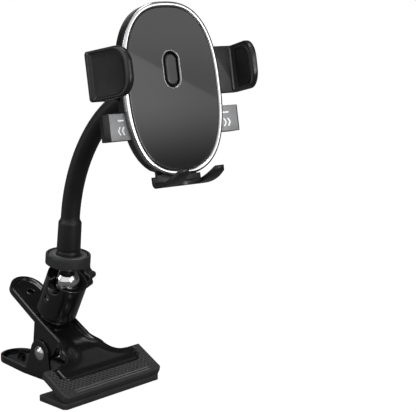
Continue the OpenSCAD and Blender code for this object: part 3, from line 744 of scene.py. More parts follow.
# ---------------------------------------------------------------- clamp: moulded pads
def pad_block(name, fr, tp, topz, hw, knurl, ridges, mat, step, deep=0.0, front=9.0):
    """Height field over the pad's plan with a recess for the steel wing and a diamond pattern around it, with painted
    shade in the pattern's pits and painted highlight on its crests and ridges.
    """
    ys = [0, .1, .3, .6, 1.0, 1.4]
    ys += list(np.arange(1.8, 27.2, step)) + [27.3, 27.7, 28.1, 28.4, 28.6, 28.7]
    if ridges:
        ys = [q for q in ys if not any(abs(q - e) < 0.16 for e in (2.2, 2.4, 3.1, 3.3, 4.2, 4.4, 5.1, 5.3))]
        ys += [2.2, 2.4, 3.1, 3.3, 4.2, 4.4, 5.1, 5.3]
    ys = np.unique(np.round(ys, 4))
    f = np.array([0, .1, .3, .6, 1.0, 1.4])
    n_mid = int(86 / step)
    mid = np.linspace(-43.2, 43.2, n_mid)
    u = np.concatenate([-45 + f, mid, 45 - f[::-1]])
    wp = 45 - np.clip(2.4 - ys, 0, None) - np.clip(ys - 27.7, 0, None)
    x = u[None, :] * (wp / 45)[:, None]
    y = np.repeat(ys[:, None], len(u), 1)
    edge = np.minimum(np.minimum(45 - np.abs(x), y), 28.7 - y)
    edge = np.minimum(edge, np.where(y < 6, (45 + 0 - np.abs(x) + y - 2.4) / math.sqrt(2), 99))
    edge = np.clip(edge, 0, None)
    z = topz - 1.0 + np.sqrt(np.clip(1 - (1 - np.clip(edge, 0, 1.0)) ** 2, 0, None)) * 1.0
    # painted light per point: below 0 is painted shade, above 0 is painted highlight
    painted_shade_and_highlight = np.zeros_like(x)
    if knurl:
        p = 3.7
        a = (x + y) / p * math.pi
        b = (x - y) / p * math.pi
        dia = np.minimum(np.abs(((x + y) / p) % 1 - 0.5), np.abs(((x - y) / p) % 1 - 0.5)) * 2
        zone = smooth01(1.9, 2.5, edge)
        if ridges:
            zone = zone * smooth01(5.6, 6.0, y)
        pits = zone * smooth01(0.22, 0.55, dia)
        z = z - knurl * pits
        # painted shade in the pits, painted highlight on the crests between them
        painted_shade_and_highlight = painted_shade_and_highlight - 0.97 * pits + 0.6 * (zone - pits)
    if ridges:
        # raised ridges, each with a painted highlight along it
        for lo in (2.3, 4.3):
            on = (y > lo) & (y < lo + 0.9) & (np.abs(x) < 34.5)
            z = z + 0.4 * on
            painted_shade_and_highlight = painted_shade_and_highlight + 2.6 * on
    # recess for the wing, a little larger than the wing, with a slot past each end
    s = np.clip(y, front, 28.99)
    w = half_width(s, hw, front) + 0.35
    rec = (y > front - 0.35) & (np.abs(x) < w)
    slot = (y > front + 3.5) & (y < 28.0) & (np.abs(x) < 37.4)
    z = np.where(rec | slot, tp - STEEL - deep, z)
    ny, nx = x.shape
    verts = [np.stack([x.ravel(), y.ravel(), z.ravel()], 1)]
    faces = quads(ny, nx, False, False)
    ring = [(0, j) for j in range(nx)] + [(i, nx - 1) for i in range(1, ny)] + [(ny - 1, j) for j in range(nx - 2, -1, -1)] + [(i, 0) for i in range(ny - 2, 0, -1)]
    ri, rj = np.array([q[0] for q in ring]), np.array([q[1] for q in ring])
    bx, by, bz = x[ri, rj], y[ri, rj], z[ri, rj]
    nb, base = len(ring), ny * nx
    cx, cy = bx * 0.0, by * 0.0 + 14.35
    rows = [ri * nx + rj]
    levels = [(0, None), (0, 0.5), (0.12, 0.15), (0.4, 0.0)]
    for k, (d, zz) in enumerate(levels):
        fx = 1 - d / 45
        px = bx * fx
        py = 14.35 + (by - 14.35) * (1 - d / 14.35)
        pz = (bz + 0.5) / 2 if zz is None else np.full_like(bz, zz)
        verts.append(np.stack([px, py, pz], 1))
        rows.append(base + nb * k + np.arange(nb))
    for a, b in zip(rows[:-1], rows[1:]):
        for j in range(nb):
            k = (j + 1) % nb
            faces.append((int(a[j]), int(a[k]), int(b[k]), int(b[j])))
    faces.append(tuple(int(q) for q in rows[-1]))
    ob = make(name, np.concatenate(verts), faces, fr, mat, 40)
    # the painted shade and highlight values go onto the mesh's points for the pad material
    full = np.zeros(len(ob.data.vertices), np.float32)
    full[:ny * nx] = painted_shade_and_highlight.ravel()
    ob.data.attributes.new("painted_shade_and_highlight", "FLOAT", "POINT").data.foreach_set("value", full)
    return ob


up_pad = pad_block("upper_pad_moulded", upper, UP_T, 5.6, UP_HW, 0.75, True, M["pad_rubber"], 0.42, 1.3, 14.5)
put(up_pad, "upper_clamp", ["upper_pad"])
low_pad = pad_block("lower_pad_moulded", lower, PAD_H, PAD_H, LOW_HW, 0.0, False, M["pad_edge"], 0.9)
put(low_pad, "lower_clamp", ["lower_pad"])

# ---------------------------------------------------------------- rivet and spring
hinge = Fr(t=lower.p((0, HINGE_S, -HINGE_T))).rot("y", 90)
dome = [(max(8 * math.sin(q), 1e-4), LOW_HW - 6.1 + 8 * math.cos(q)) for q in np.linspace(0, 0.64, 14)]
dome += [(5.05, LOW_HW + 0.28), (5.22, LOW_HW + 0.12), (5.1, LOW_HW), (3.0, LOW_HW - 0.01)]
prof = [(r, -z) for r, z in dome] + [(r, z) for r, z in dome[::-1]]
rivet = lathe("rivet", prof, hinge, M["rivet_chrome"], 64)
put(rivet, "lower_clamp", ["pivot_rivet"])
cx = np.array(lower.p((0, HINGE_S, -HINGE_T)))
turns, n_c = 9, 9 * 28
q = np.linspace(0, 2 * math.pi * turns, n_c)
a0 = math.radians(205)
coil = np.stack([-8.4 + 16.8 * q / q[-1], 5.2 * np.cos(q + a0), 5.2 * np.sin(q + a0)], 1)


def leg(end, direction):
    d = np.array(direction, float)
    return np.array([end + d * k for k in np.linspace(1.2, 27, 12)])


t0, t1 = coil[0] - coil[1], coil[-1] - coil[-2]
t0, t1 = t0 / np.linalg.norm(t0), t1 / np.linalg.norm(t1)
spring = tube("coil_spring", np.concatenate([coil]), 0.92, Fr(t=cx), M["spring_steel"], 12)
legs = []
sp = Fr(t=cx).flip((1, 1, -1))
for ang, xx, zz in ((25.8, -7.6, 5.2), (-JAW_V - 28.8, 7.6, -5.2)):
    f2 = sp.rot("x", ang).tr((xx, 0, zz))
    g = np.linspace(-1.2, 27.4, 10)
    pts = np.stack([np.zeros_like(g), g, np.zeros_like(g)], 1)
    legs.append(tube("leg", pts, [0.3] + [0.88] * 8 + [0.5], f2, M["spring_steel"], 12))
# the leg that presses on the upper jaw turns with it
low_leg, up_leg = legs
spring = join([spring, low_leg], "torsion_coil")
put(spring, "lower_clamp", ["torsion_spring"])
up_leg.name = "torsion_coil_leg"
put(up_leg, "upper_clamp")

# ---------------------------------------------------------------- ball head
put(lathe("head_washer", [(3.1, 0.0), (11.9, 0.0, 0.3), (12.2, 0.6, 0.3), (12.2, 2.0, 0.4), (11.6, 2.4, 0.2), (3.1, 2.4)], head, M["housing_paint"], 96, loop=True), "head", ["base_washer"])


def housing():
    R, RC, zc, notch = 15.3, 9.55, BALL_H, 192.0
    nz, half = BALL_H - 1, 5.2

    def mouth(a):
        """Height of the mouth, which is higher at the back."""
        return 35.6 + R * math.sin(a + math.radians(notch)) * math.tan(math.radians(6))

    # the rim's line around: (lateral or angle, height, outward direction in the skin)
    a_out0 = math.asin(half / R)
    a_in0 = math.asin(half / RC)
    pts = []
    for q in np.linspace(1, 0, 90)[:-1]:
        ang = a_out0 + 0.09 + (2 * math.pi - 2 * a_out0 - 0.18) * (1 - q)
        pts.append((ang, mouth(ang), 0.0, 1.0))
    # corner into the notch, rounded
    rc = 1.2
    for k in np.linspace(0, 1, 6):
        g = k * math.pi / 2
        y = half + rc * (1 - math.sin(g))
        pts.append((("y", -y), mouth(-math.asin(y / R)) - rc * (1 - math.cos(g)), math.sin(g), math.cos(g)))
    for z in np.linspace(mouth(-a_out0) - rc, nz, 8)[1:]:
        pts.append((("y", -half), z, 1.0, 0.0))
    for k in np.linspace(0, 1, 26)[1:-1]:
        g = math.pi * k
        pts.append((("y", -half * math.cos(g)), nz - half * math.sin(g), math.cos(g), math.sin(g)))
    for z in np.linspace(nz, mouth(a_out0) - rc, 8)[:-1]:
        pts.append((("y", half), z, -1.0, 0.0))
    for k in np.linspace(1, 0, 6):
        g = k * math.pi / 2
        y = half + rc * (1 - math.sin(g))
        pts.append((("y", y), mouth(math.asin(y / R)) - rc * (1 - math.cos(g)), -math.sin(g), math.cos(g)))
    n = len(pts)

    def loc(item, r, shift):
        """Cylindrical angle about the notch and height, moved into the wall by shift."""
        key, z, ny, nzz = item
        if isinstance(key, tuple):
            y = key[1] - ny * shift
            return math.asin(max(-0.999, min(0.999, y / r))), z - nzz * shift
        f = (key - a_out0) / (2 * math.pi - 2 * a_out0)
        a_r = math.asin(min(0.999, half / r))
        return a_r + f * (2 * math.pi - 2 * a_r), z - shift

    even = np.array([loc(p, R, 0)[0] % (2 * math.pi) for p in pts])
    even = np.unwrap(even)
    start, total = even[0], 2 * math.pi
    lin = start + np.arange(n) * total / n
    rings = []
    for r, z in [(11.3, 2.4), (11.6, 2.5)] + [tuple(v) for v in fillet([(11.6, 2.4, 0), (12.6, 2.42, .4), (15.3, 5.7, 2.4), (15.3, 12, 0)], 5, False)[1:-1]]:
        rings.append([(r * math.cos(a), r * math.sin(a), z) for a in lin])
    rho = 0.8
    zs = 8.0
    for f in np.linspace(0, 1, 16):
        row = []
        for k, p in enumerate(pts):
            a, z = loc(p, R, rho)
            a = a % (2 * math.pi)
            while a < lin[k] - math.pi:
                a += 2 * math.pi
            while a > lin[k] + math.pi:
                a -= 2 * math.pi
            g = smooth01(0.15, 0.8, f)
            aa = lin[k] * (1 - g) + a * g
            row.append((R * math.cos(aa), R * math.sin(aa), zs + (z - zs) * f))
        rings.append(row)

    def ring_at(r_off, shift, inner=False):
        row = []
        for p in pts:
            z0 = p[1]
            ri = math.sqrt(max(RC ** 2 - (z0 - zc) ** 2, 36.0))
            r = (R - r_off) if not inner else (ri + r_off)
            a, z = loc(p, r, shift)
            row.append((r * math.cos(a), r * math.sin(a), z))
        return row

    for g in np.linspace(0.2, 1, 5):
        q_ = g * math.pi / 2
        rings.append(ring_at(rho * (1 - math.cos(q_)), rho * (1 - math.sin(q_))))
    rings.append(ring_at(2.6, 0))
    for g in np.linspace(0, 1, 4):
        q_ = g * math.pi / 2
        rings.append(ring_at(0.5 * (1 - math.sin(q_)), 0.5 * (1 - math.cos(q_)), True))
    last = np.array(rings[-1])
    for f in (0.25, 0.5, 0.75, 1.0):
        row = []
        for p in last:
            v = p - np.array([0, 0, zc])
            ph = math.asin(max(-1, min(1, v[2] / RC)))
            ph = ph + (-0.70 - ph) * f
            ang = math.atan2(v[1], v[0])
            row.append((RC * math.cos(ph) * math.cos(ang), RC * math.cos(ph) * math.sin(ang), zc + RC * math.sin(ph)))
        rings.append(row)
    rings.append([(q_[0] * 0.995, q_[1] * 0.995, 14.0) for q_ in np.array(rings[-1])])
    return stack("ball_housing_body", rings, head.rot("z", notch), M["housing_paint"], sharp=40)


body = housing()
side = head.rot("z", 184).tr((0, 0, BALL_H - 12.5)).rot("y", 90)
cut(body, [rod_cutter(2.5, 7.7, 30, side, 40)], 40)
put(body, "head", ["ball_housing"])
ring_pts = []
for g in np.linspace(0, 2 * math.pi, 49)[:-1]:
    y, z = 2.66 * math.cos(g), 2.66 * math.sin(g)
    ring_pts.append((-z, y, math.sqrt(15.3 ** 2 - y * y)))
put(tube("set_screw_rim", ring_pts, 0.3, side, M["housing_paint"], 10, closed=True), "head")
ss = lathe("set_screw_body", [(0.001, 7.7), (2.4, 7.7, 0.2), (2.4, 14.0, 0.3), (1.6, 14.3, 0.1), (1.3, 14.1), (1.25, 12.2), (0.001, 12.0)], side, M["screw_steel"], 24)
put(ss, "head", ["set_screw"])

knob = head.rot("z", 20).tr((0, 0, BALL_H - 7.5)).rot("y", 90)
out = lobed(240, 7.45, 2.55, 7.45, 6, 1.1)
lv = [at(out, 5.5, 20.4), at(out, 2.0, 20.4), at(out, 1.0, 20.5), at(out, 0.35, 20.9), at(out, 0.05, 21.6), at(out, 0, 22.6), at(out, 0, 28.2), at(out, 0.12, 29.1), at(out, 0.5, 29.9), at(out, 1.2, 30.35)]
lv += [circle(5.5, 30.4, 240), circle(5.2, 30.3, 240), circle(5.05, 29.9, 240), circle(4.9, 29.75, 240), circle(3.8, 30.0, 240), circle(1.8, 30.25, 240), circle(0.3, 30.3, 240)]
kn = stack("knob_body", lv, knob, M["knob_plastic"], sharp=40)
hub = lathe("knob_hub", [(3.05, 16.0), (4.7, 16.0, 0.4), (5.0, 17.0, 0.4), (5.0, 20.45), (3.05, 20.45)], knob, M["knob_plastic"], 64, loop=True)
put(join([kn, hub], "lobed_knob"), "knob", ["lock_knob"])
put(lathe("lock_screw_body", [(0.01, 9.6), (2.6, 9.6, 0.3), (3.0, 10.2, 0.2), (3.0, 25.9), (0.01, 26.0)], knob, M["screw_steel"], 48), "knob", ["lock_screw"])

prof = [(max(9.25 * math.sin(q), 1e-4), -9.25 * math.cos(q)) for q in np.linspace(0, math.pi - 0.44, 40)]
prof += [(3.98, 8.55), (3.95, 9.3), (4.0, 11.4), (3.0, 11.45), (3.0, 33.6, 0.4), (0.001, 33.9)]
put(lathe("stud_ball", prof, stud, M["ball_chrome"], 128), "stud", ["ball_stud"])

# lock disc: chamfered below, thin raised rim, toothed rubber face
dr, z0, z1 = 16.3, 11.5, 20.5
prof = [(3.06, z0), (13.2, z0, 0.5), (14.0, z0 + 0.2, 0.3), (dr, z0 + 1.9, 0.5), (dr, z1 - 1.0, 0.3), (dr - 0.25, z1 - 0.75, 0.1), (dr - 0.25, z1 - 0.5, 0.1), (dr - 0.05, z1 - 0.35, 0.1), (dr - 0.3, z1, 0.25), (dr - 1.7, z1, 0.35), (dr - 2.1, z1 - 1.4, 0.2), (8.8, z1 - 1.4, 0.2), (8.6, z1 - 0.2, 0.3), (3.06, z1 - 0.2)]
disc = lathe("disc_body", prof, stud, M["disc_metal"], 160, loop=True)
put(disc, "disc", ["lock_disc"])
na, nr = 360, 14
a = np.arange(na) * 2 * math.pi / na
rings = []
r_in, r_out, zb = 9.0, 13.9, z1 - 1.38
for r in (r_out,):
    rings.append(circle(r, zb, na))
for k, r in enumerate(np.linspace(r_out - 0.15, r_in + 0.15, nr)):
    sgnk = 0.5 - abs(k / (nr - 1) - 0.5)
    ph = (a * 45 / (2 * math.pi) + sgnk * 1.6) % 1
    tooth = np.abs(ph - 0.5) * 2
    f = circle(r, 0, na)
    f[:, 2] = zb + 0.35 + 0.95 * smooth01(0.15, 0.85, tooth) * (0.55 if k in (0, nr - 1) else 1.0)
    rings.append(f)
rings.append(circle(r_in, zb, na))
put(stack("disc_teeth", rings, stud, M["teeth_rubber"], loop=True, sharp=50), "disc", ["disc_grip"])

# ---------------------------------------------------------------- neck: one rubber sleeve in lengths along the bent neck
NECK_R = 6.85


def sleeve(name, s0, s1, steps, cap0=False, cap1=False, n=48):
    rings = []
    s = list(np.linspace(s0, s1, steps))
    ang = np.arange(n) * 2 * math.pi / n
    for k, q in enumerate(s):
        f = neck_at(q)
        r = NECK_R + 0.035 * math.sin(q * 2.1)
        rings.append(f.pts(np.stack([r * np.cos(ang), r * np.sin(ang), 0 * ang], 1)))
    if cap1:
        f = neck_at(s1)
        for r, dz in ((NECK_R - 0.15, 0.35), (NECK_R - 0.6, 0.7), (5.2, 0.8), (4.2, 0.5), (4.15, -1.5)):
            rings.append(f.pts(np.stack([r * np.cos(ang), r * np.sin(ang), 0 * ang + dz], 1)))
    v = np.concatenate(rings)
    faces = quads(len(rings), n)
    faces.append(tuple(range(n))[::-1])
    faces.append(tuple(range((len(rings) - 1) * n, len(rings) * n)))
    return make(name, v, faces, ROW, M["neck_rubber"], 50)


foot = [(3.1, 19.5), (8.2, 19.45, 0.4), (8.65, 20.2, 0.5), (8.7, 22.0, 0.6), (8.35, 23.2, 0.3), (8.35, 24.2, 0.3), (8.62, 25.2, 0.5), (8.35, 44.2, 1.2), (7.05, 46.6, 0.8), (6.85, 48.2, 0.5), (6.85, 49.6), (3.1, 49.6)]
foot_ob = lathe("neck_foot_sleeve", foot, stud, M["neck_rubber"], 96, loop=True, sharp=50)
put(foot_ob, "neck_a", ["neck_foot"])
marks = [0.0, 28.0, 56.2, 83.9, 110.0]
pairs = [("neck_a", "neck_b"), ("neck_b", "neck_c"), ("neck_c", "neck_d"), ("neck_d", "neck_e")]
names = ["neck_link_1", "neck_link_2", "neck_link_3", None]
for k, (a, b) in enumerate(pairs):
    s0, s1 = marks[k], marks[k + 1]
    ob = sleeve(f"neck_sleeve_{k + 1}", s0 if k else 0.6, s1, 34)
    tuple(neck_at(s0 + 1.6).p() * MM)
    tuple(neck_at(s1 - 1.2).p() * MM)
    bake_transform(ob)
    if names[k]:
        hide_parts(names[k])
end = sleeve("neck_end_sleeve", 110.0, ARC_1 + 49.7 - 0.8, 14, cap1=True)
put(end, "neck_e", ["neck_end"])

prof = [(0.001, -19.8), (3.0, -19.6, 0.3), (3.0, -11.5), (3.95, -11.4), (3.95, -7.4)]
prof += [(max(8 * math.sin(q), 1e-4), -8 * math.cos(q)) for q in np.linspace(0.53, math.pi, 34)]
put(lathe("upper_ball_stud", prof, top, M["ball_chrome"], 96), "upper_ball", ["top_ball"])
for node in ("ball_ring", "ball_cup"):
    o = frame["nodes"][node]
    for sl in o.material_slots:
        sl.material = M["inner_plastic"]

# ---------------------------------------------------------------- cradle
BW, BL, BT, TW = 73.3, 110.0, 13.7, 3.4
ov = oval(BW, BL, 240)
# collar nut with nine lobes
no = lobed(288, 14.1, 2.55, 14.05, 9, 1.0)
no = no[:, [0, 1]]
lv = [at(no, 2.2, -4.4), at(no, 1.2, -4.35), at(no, 0.5, -4.0), at(no, 0.1, -3.3), at(no, 0, -2.4), at(no, 0, 13.0), at(no, 0.12, 14.0), at(no, 0.6, 14.7), at(no, 1.4, 15.0),
      circle(12.1, 15.0, 288), circle(11.6, 14.6, 288), circle(11.56, 13.8, 288), circle(11.56, -2.75, 288), circle(9.2, -2.8, 288), circle(8.95, -3.1, 288), circle(8.95, -3.9, 288), circle(9.4, -4.35, 288), circle(11.0, -4.4, 288)]
put(stack("collar_nut_body", lv, sock, M["knob_plastic"], loop=True, sharp=40), "nut", ["collar_nut"])


# back shell: domed back, straight sides, round socket, cut for the arms, levers and foot
def morph(z, f):
    """A ring between the oval drawn in and the socket's foot circle."""
    o = at(ov, 9.0, z)
    ang = np.unwrap(np.arctan2(o[:, 1] - 3.94, o[:, 0]))
    c = np.stack([15.5 * np.cos(ang), 3.94 + 15.5 * np.sin(ang), np.full(len(ang), float(z))], 1)
    return o * (1 - f) + c * f


def around(r, z):
    o = at(ov, 9.0, z)
    ang = np.unwrap(np.arctan2(o[:, 1] - 3.94, o[:, 0]))
    return np.stack([r * np.cos(ang), 3.94 + r * np.sin(ang), np.full(len(ang), float(z))], 1)


lv = [at(ov, 0.4, -3.55), at(ov, 0.4, -6.5), at(ov, 0.4, -10.0)]
for g in np.linspace(0, 1, 9)[1:]:
    q = g * math.pi / 2
    lv.append(at(ov, 0.4 + 7.4 * (1 - math.cos(q)), -10.0 - 3.6 * math.sin(q)))
lv += [morph(-13.7, f) for f in (0.02, 0.25, 0.5, 0.75, 1.0)]
for r, z in fillet([(15.5, -13.7, 0), (11.5, -13.7, 2.4), (11.5, -36.45, 0.5), (9.8, -36.45, 0.4), (9.8, -23.7, 0.1), (6.0, -23.7, 0.0), (6.0, -11.8, 0)], 4, False)[1:]:
    lv.append(around(r, z))
lv += [around(15, -11.7)]
lv += [at(ov, 9.0, -11.7), at(ov, 3.2, -11.7), at(ov, 2.5, -11.2), at(ov, 2.5, -3.55)]
shell = stack("back_shell_body", lv, cradle, M["shell_plastic"], loop=True, sharp=34)
cuts = [box_cutter((-60, ARM_V - 15.8, -11.5), (60, ARM_V + 15.8, -7.3), cradle),
        box_cutter((28, -30.4, -11.6), (48, -12.6, -2.6), cradle), box_cutter((-48, -30.4, -11.6), (-28, -12.6, -2.6), cradle),
        box_cutter((-18.3, -70, -11.5), (18.3, -40, -8.3), cradle)]
SCREWS = [(-20.5, 36), (20.5, 36), (-21.5, -38), (21.5, -38)]
for u, v in SCREWS:
    cuts.append(rod_cutter(2.9, -20, -12.65, cradle.tr((u, v, 0)), 32))
    cuts.append(rod_cutter(1.5, -13, -9, cradle.tr((u, v, 0)), 24))
cut(shell, cuts, 34)
put(shell, "cradle", ["back_shell"])
for u, v in SCREWS:
    pts = [(2.98 * math.cos(q), 2.98 * math.sin(q), -13.66) for q in np.linspace(0, 2 * math.pi, 41)[:-1]]
    put(tube("screw_rim", pts, 0.16, cradle.tr((u, v, 0)), M["shell_plastic"], 8, closed=True), "cradle")

# patch on the back with a fine border groove
pp = [(13.2, -5.2), (13.2, -27.0)]
pp = [(13.2 * math.cos(q), -27 + 13.2 * math.sin(q)) for q in np.linspace(0, -math.pi, 40)] + [(-13.2, -5.1)]
top_arc = [(17.45 * math.sin(q), 3.94 - 17.45 * math.cos(q)) for q in np.linspace(-0.80, 0.80, 30)]
top_arc = [p for p in top_arc if abs(p[0]) < 12.9]
patch = np.array(pp + top_arc)
patch = resample(patch, 200)
area = 0.5 * np.sum(patch[:, 0] * np.roll(patch[:, 1], -1) - np.roll(patch[:, 0], -1) * patch[:, 1])
if area < 0:
    patch = patch[::-1]
fl = cradle.flip((1, 1, -1))
put(stack("back_patch_plate", [at(patch, 0.0, 13.6), at(patch, 0.05, 13.95), at(patch, 0.25, 14.08), at(patch, 1.3, 14.1), at(patch, 1.45, 13.95), at(patch, 1.8, 13.95), at(patch, 1.95, 14.08), at(patch, 3.0, 14.1)], fl, M["patch_plastic"]), "cradle", ["back_patch"])

# bright ring: rounded outer edge, domed top, a step and a dark joint line against the panel
lv = [(0.0, -3.5), (0.0, -1.25), (0.12, -0.8), (0.4, -0.42), (0.8, -0.18), (1.3, -0.04), (1.8, 0.0), (2.25, -0.03), (2.55, -0.12), (2.68, -0.3), (2.74, -0.42), (3.2, -0.46), (3.34, -0.6), (3.38, -0.9), (3.38, -3.5)]
ring = stack("trim_ring_body", [at(ov, d, z) for d, z in lv], cradle, M["trim_chrome"], loop=True, sharp=60)
put(ring, "cradle", ["trim_ring"])
ring.data.materials.append(M["trim_edge"])
for poly in ring.data.polygons:
    c = cradle.r.T @ (np.array(poly.center) / MM - cradle.t)
    n = cradle.r.T @ np.array(poly.normal)
    if c[2] < -1.2 or (c[2] < -0.38 and c[2] > -0.62 and n[2] > 0.5):
        poly.material_index = 1

# glass-like panel with the trigger's opening
TC = (0, 12)
po = inset(ov, 3.42)


def toward(poly, inner, f, z):
    """Rings between the panel's outline and an inner outline, matched by direction."""
    c = np.array(TC, float)
    ang = np.unwrap(np.arctan2(poly[:, 1] - c[1], poly[:, 0] - c[0]))
    ia = np.unwrap(np.arctan2(inner[:, 1] - c[1], inner[:, 0] - c[0]))
    ia2 = np.concatenate([ia - 2 * math.pi, ia, ia + 2 * math.pi])
    i2 = np.concatenate([inner] * 3)
    o = np.argsort(ia2)
    m = np.stack([np.interp(ang, ia2[o], i2[o, k]) for k in (0, 1)], 1)
    q = poly * (1 - f) + m * f
    return np.hstack([q, np.full((len(q), 1), float(z))])


hole = stadium(13.6, 24.8, 400, TC)
bore = stadium(11.2, 22.4, 400, TC)
lv = [at(po, 0.0, -3.5), at(po, 0.0, -0.95), at(po, 0.1, -0.68), at(po, 0.35, -0.54), at(po, 0.7, -0.5)]
pin = inset(po, 0.72)
lv += [toward(pin, hole, f, -0.5) for f in (0.0, 0.004, 0.25, 0.5, 0.75, 0.99, 1.0)]
lv += [toward(pin, hole, 1.0, -0.9), toward(pin, bore, 1.0, -0.9), toward(pin, bore, 1.0, -6.4), toward(pin, stadium(15.0, 26.2, 400, TC), 1.0, -6.4), toward(pin, stadium(15.0, 26.2, 400, TC), 1.0, -3.5)]
panel = stack("panel_face", lv, cradle, M["panel_gloss"], loop=True, sharp=34)
put(panel, "cradle", ["front_panel"])
post = lathe("pinion_post", [(0.01, -11.5), (1.85, -11.5, 0.2), (2.0, -11.2, 0.1), (2.0, -7.3), (0.01, -7.3)], cradle.tr((0, ARM_V, 0)), M["panel_gloss"], 32)
bar = prism("post_bar", [(-7.4, -1.2), (7.4, -1.2), (7.4, 1.2), (-7.4, 1.2)], -7.3, -6.4, cradle.tr((0, ARM_V, 0)), M["panel_gloss"], 0.15)
put(join([post, bar], "pinion_mount"), "cradle")

ro = stadium(13.55, 24.75, 160, TC)
lv = [(0.0, -0.88), (0.0, -0.5), (0.08, -0.38), (0.22, -0.3), (0.4, -0.28), (0.62, -0.34), (0.85, -0.5), (1.05, -0.72), (1.15, -0.88)]
put(stack("trigger_rim_ring", [at(ro, d, z) for d, z in lv], cradle, M["trim_edge"], loop=True, sharp=60), "cradle", ["trigger_rim"])
bo = stadium(10.6, 21.8, 160, TC)
lv = [(1.6, -2.4), (1.6, -3.85), (0.3, -3.9), (0.0, -3.6), (0.0, -2.5), (0.12, -2.25), (0.4, -2.1), (0.7, -2.0), (0.95, -1.6), (1.05, -1.1), (1.2, -0.75), (1.5, -0.52), (2.1, -0.42), (3.9, -0.46)]
button = stack("trigger_button_body", [at(bo, d, z) for d, z in lv], cradle, M["button_black"], sharp=45)
put(button, "trigger", ["trigger_button"])
n_c = 5 * 24
q = np.linspace(0, 5 * 2 * math.pi, n_c)
coil = np.stack([2.6 * np.cos(q), 2.6 * np.sin(q), -5.95 + 1.75 * q / q[-1]], 1)
put(tube("trigger_coil", coil, 0.42, cradle.tr((0, ARM_V, 0)), M["spring_steel"], 10), "cradle", ["trigger_spring"])
for i in (1, 2, 3, 4):
    for sl in frame["nodes"][f"screw_{i}"].material_slots:
        sl.material = M["screw_steel"]
for node, mt in (("pinion", "inner_plastic"), ("ball_seat", "seat_brass"), ("mounting_screw", "screw_steel"), ("foot_pad", "grip_rubber")):
    for sl in frame["nodes"][node].material_slots:
        sl.material = M[mt]

# ---------------------------------------------------------------- arms
LEAN_IN, PAD_L = 13.56, 34.0
inv = lambda a: math.tan(a) - a


def rack(fr, mat):
    pts = [(-40, 13.2 - 6.0)]
    p = []
    pr = math.radians(25)
    ht, k = math.pi / 4 - 0.1, math.tan(pr)
    line = [(3.0, 13.2)]
    pts = [(-37.0, 13.2), (-37.0, 7.2)]
    for i in range(-6, 1):
        cxx = (i + 0.5) * math.pi
        for dx, dy in ((-ht - 1.25 * k, 1.25), (-ht + 0.72 * k, -0.72), (ht - 0.72 * k, -0.72), (ht + 1.25 * k, 1.25)):
            xx = cxx + dx
            if xx < 3.0:
                pts.append((xx, 6.0 + min(dy, 1.2)))
    pts += [(3.0, 7.2), (3.0, 13.2)]
    return stack("rack", [[(a, b, -11.2) for a, b in pts], [(a, b, -7.7) for a, b in pts]], fr, mat)


def follow(outer, inner, c):
    """Points of the inner outline in the same directions from c as the outer outline's points."""
    c = np.array(c, float)
    ang = np.unwrap(np.arctan2(outer[:, 1] - c[1], outer[:, 0] - c[0]))
    ia = np.unwrap(np.arctan2(inner[:, 1] - c[1], inner[:, 0] - c[0]))
    ia2 = np.concatenate([ia - 2 * math.pi, ia, ia + 2 * math.pi])
    i2 = np.concatenate([inner] * 3)
    o = np.argsort(ia2)
    ang = (ang - ia[0]) % (2 * math.pi) + ia.min()
    return np.stack([np.interp(ang, ia2[o], i2[o, k]) for k in (0, 1)], 1)


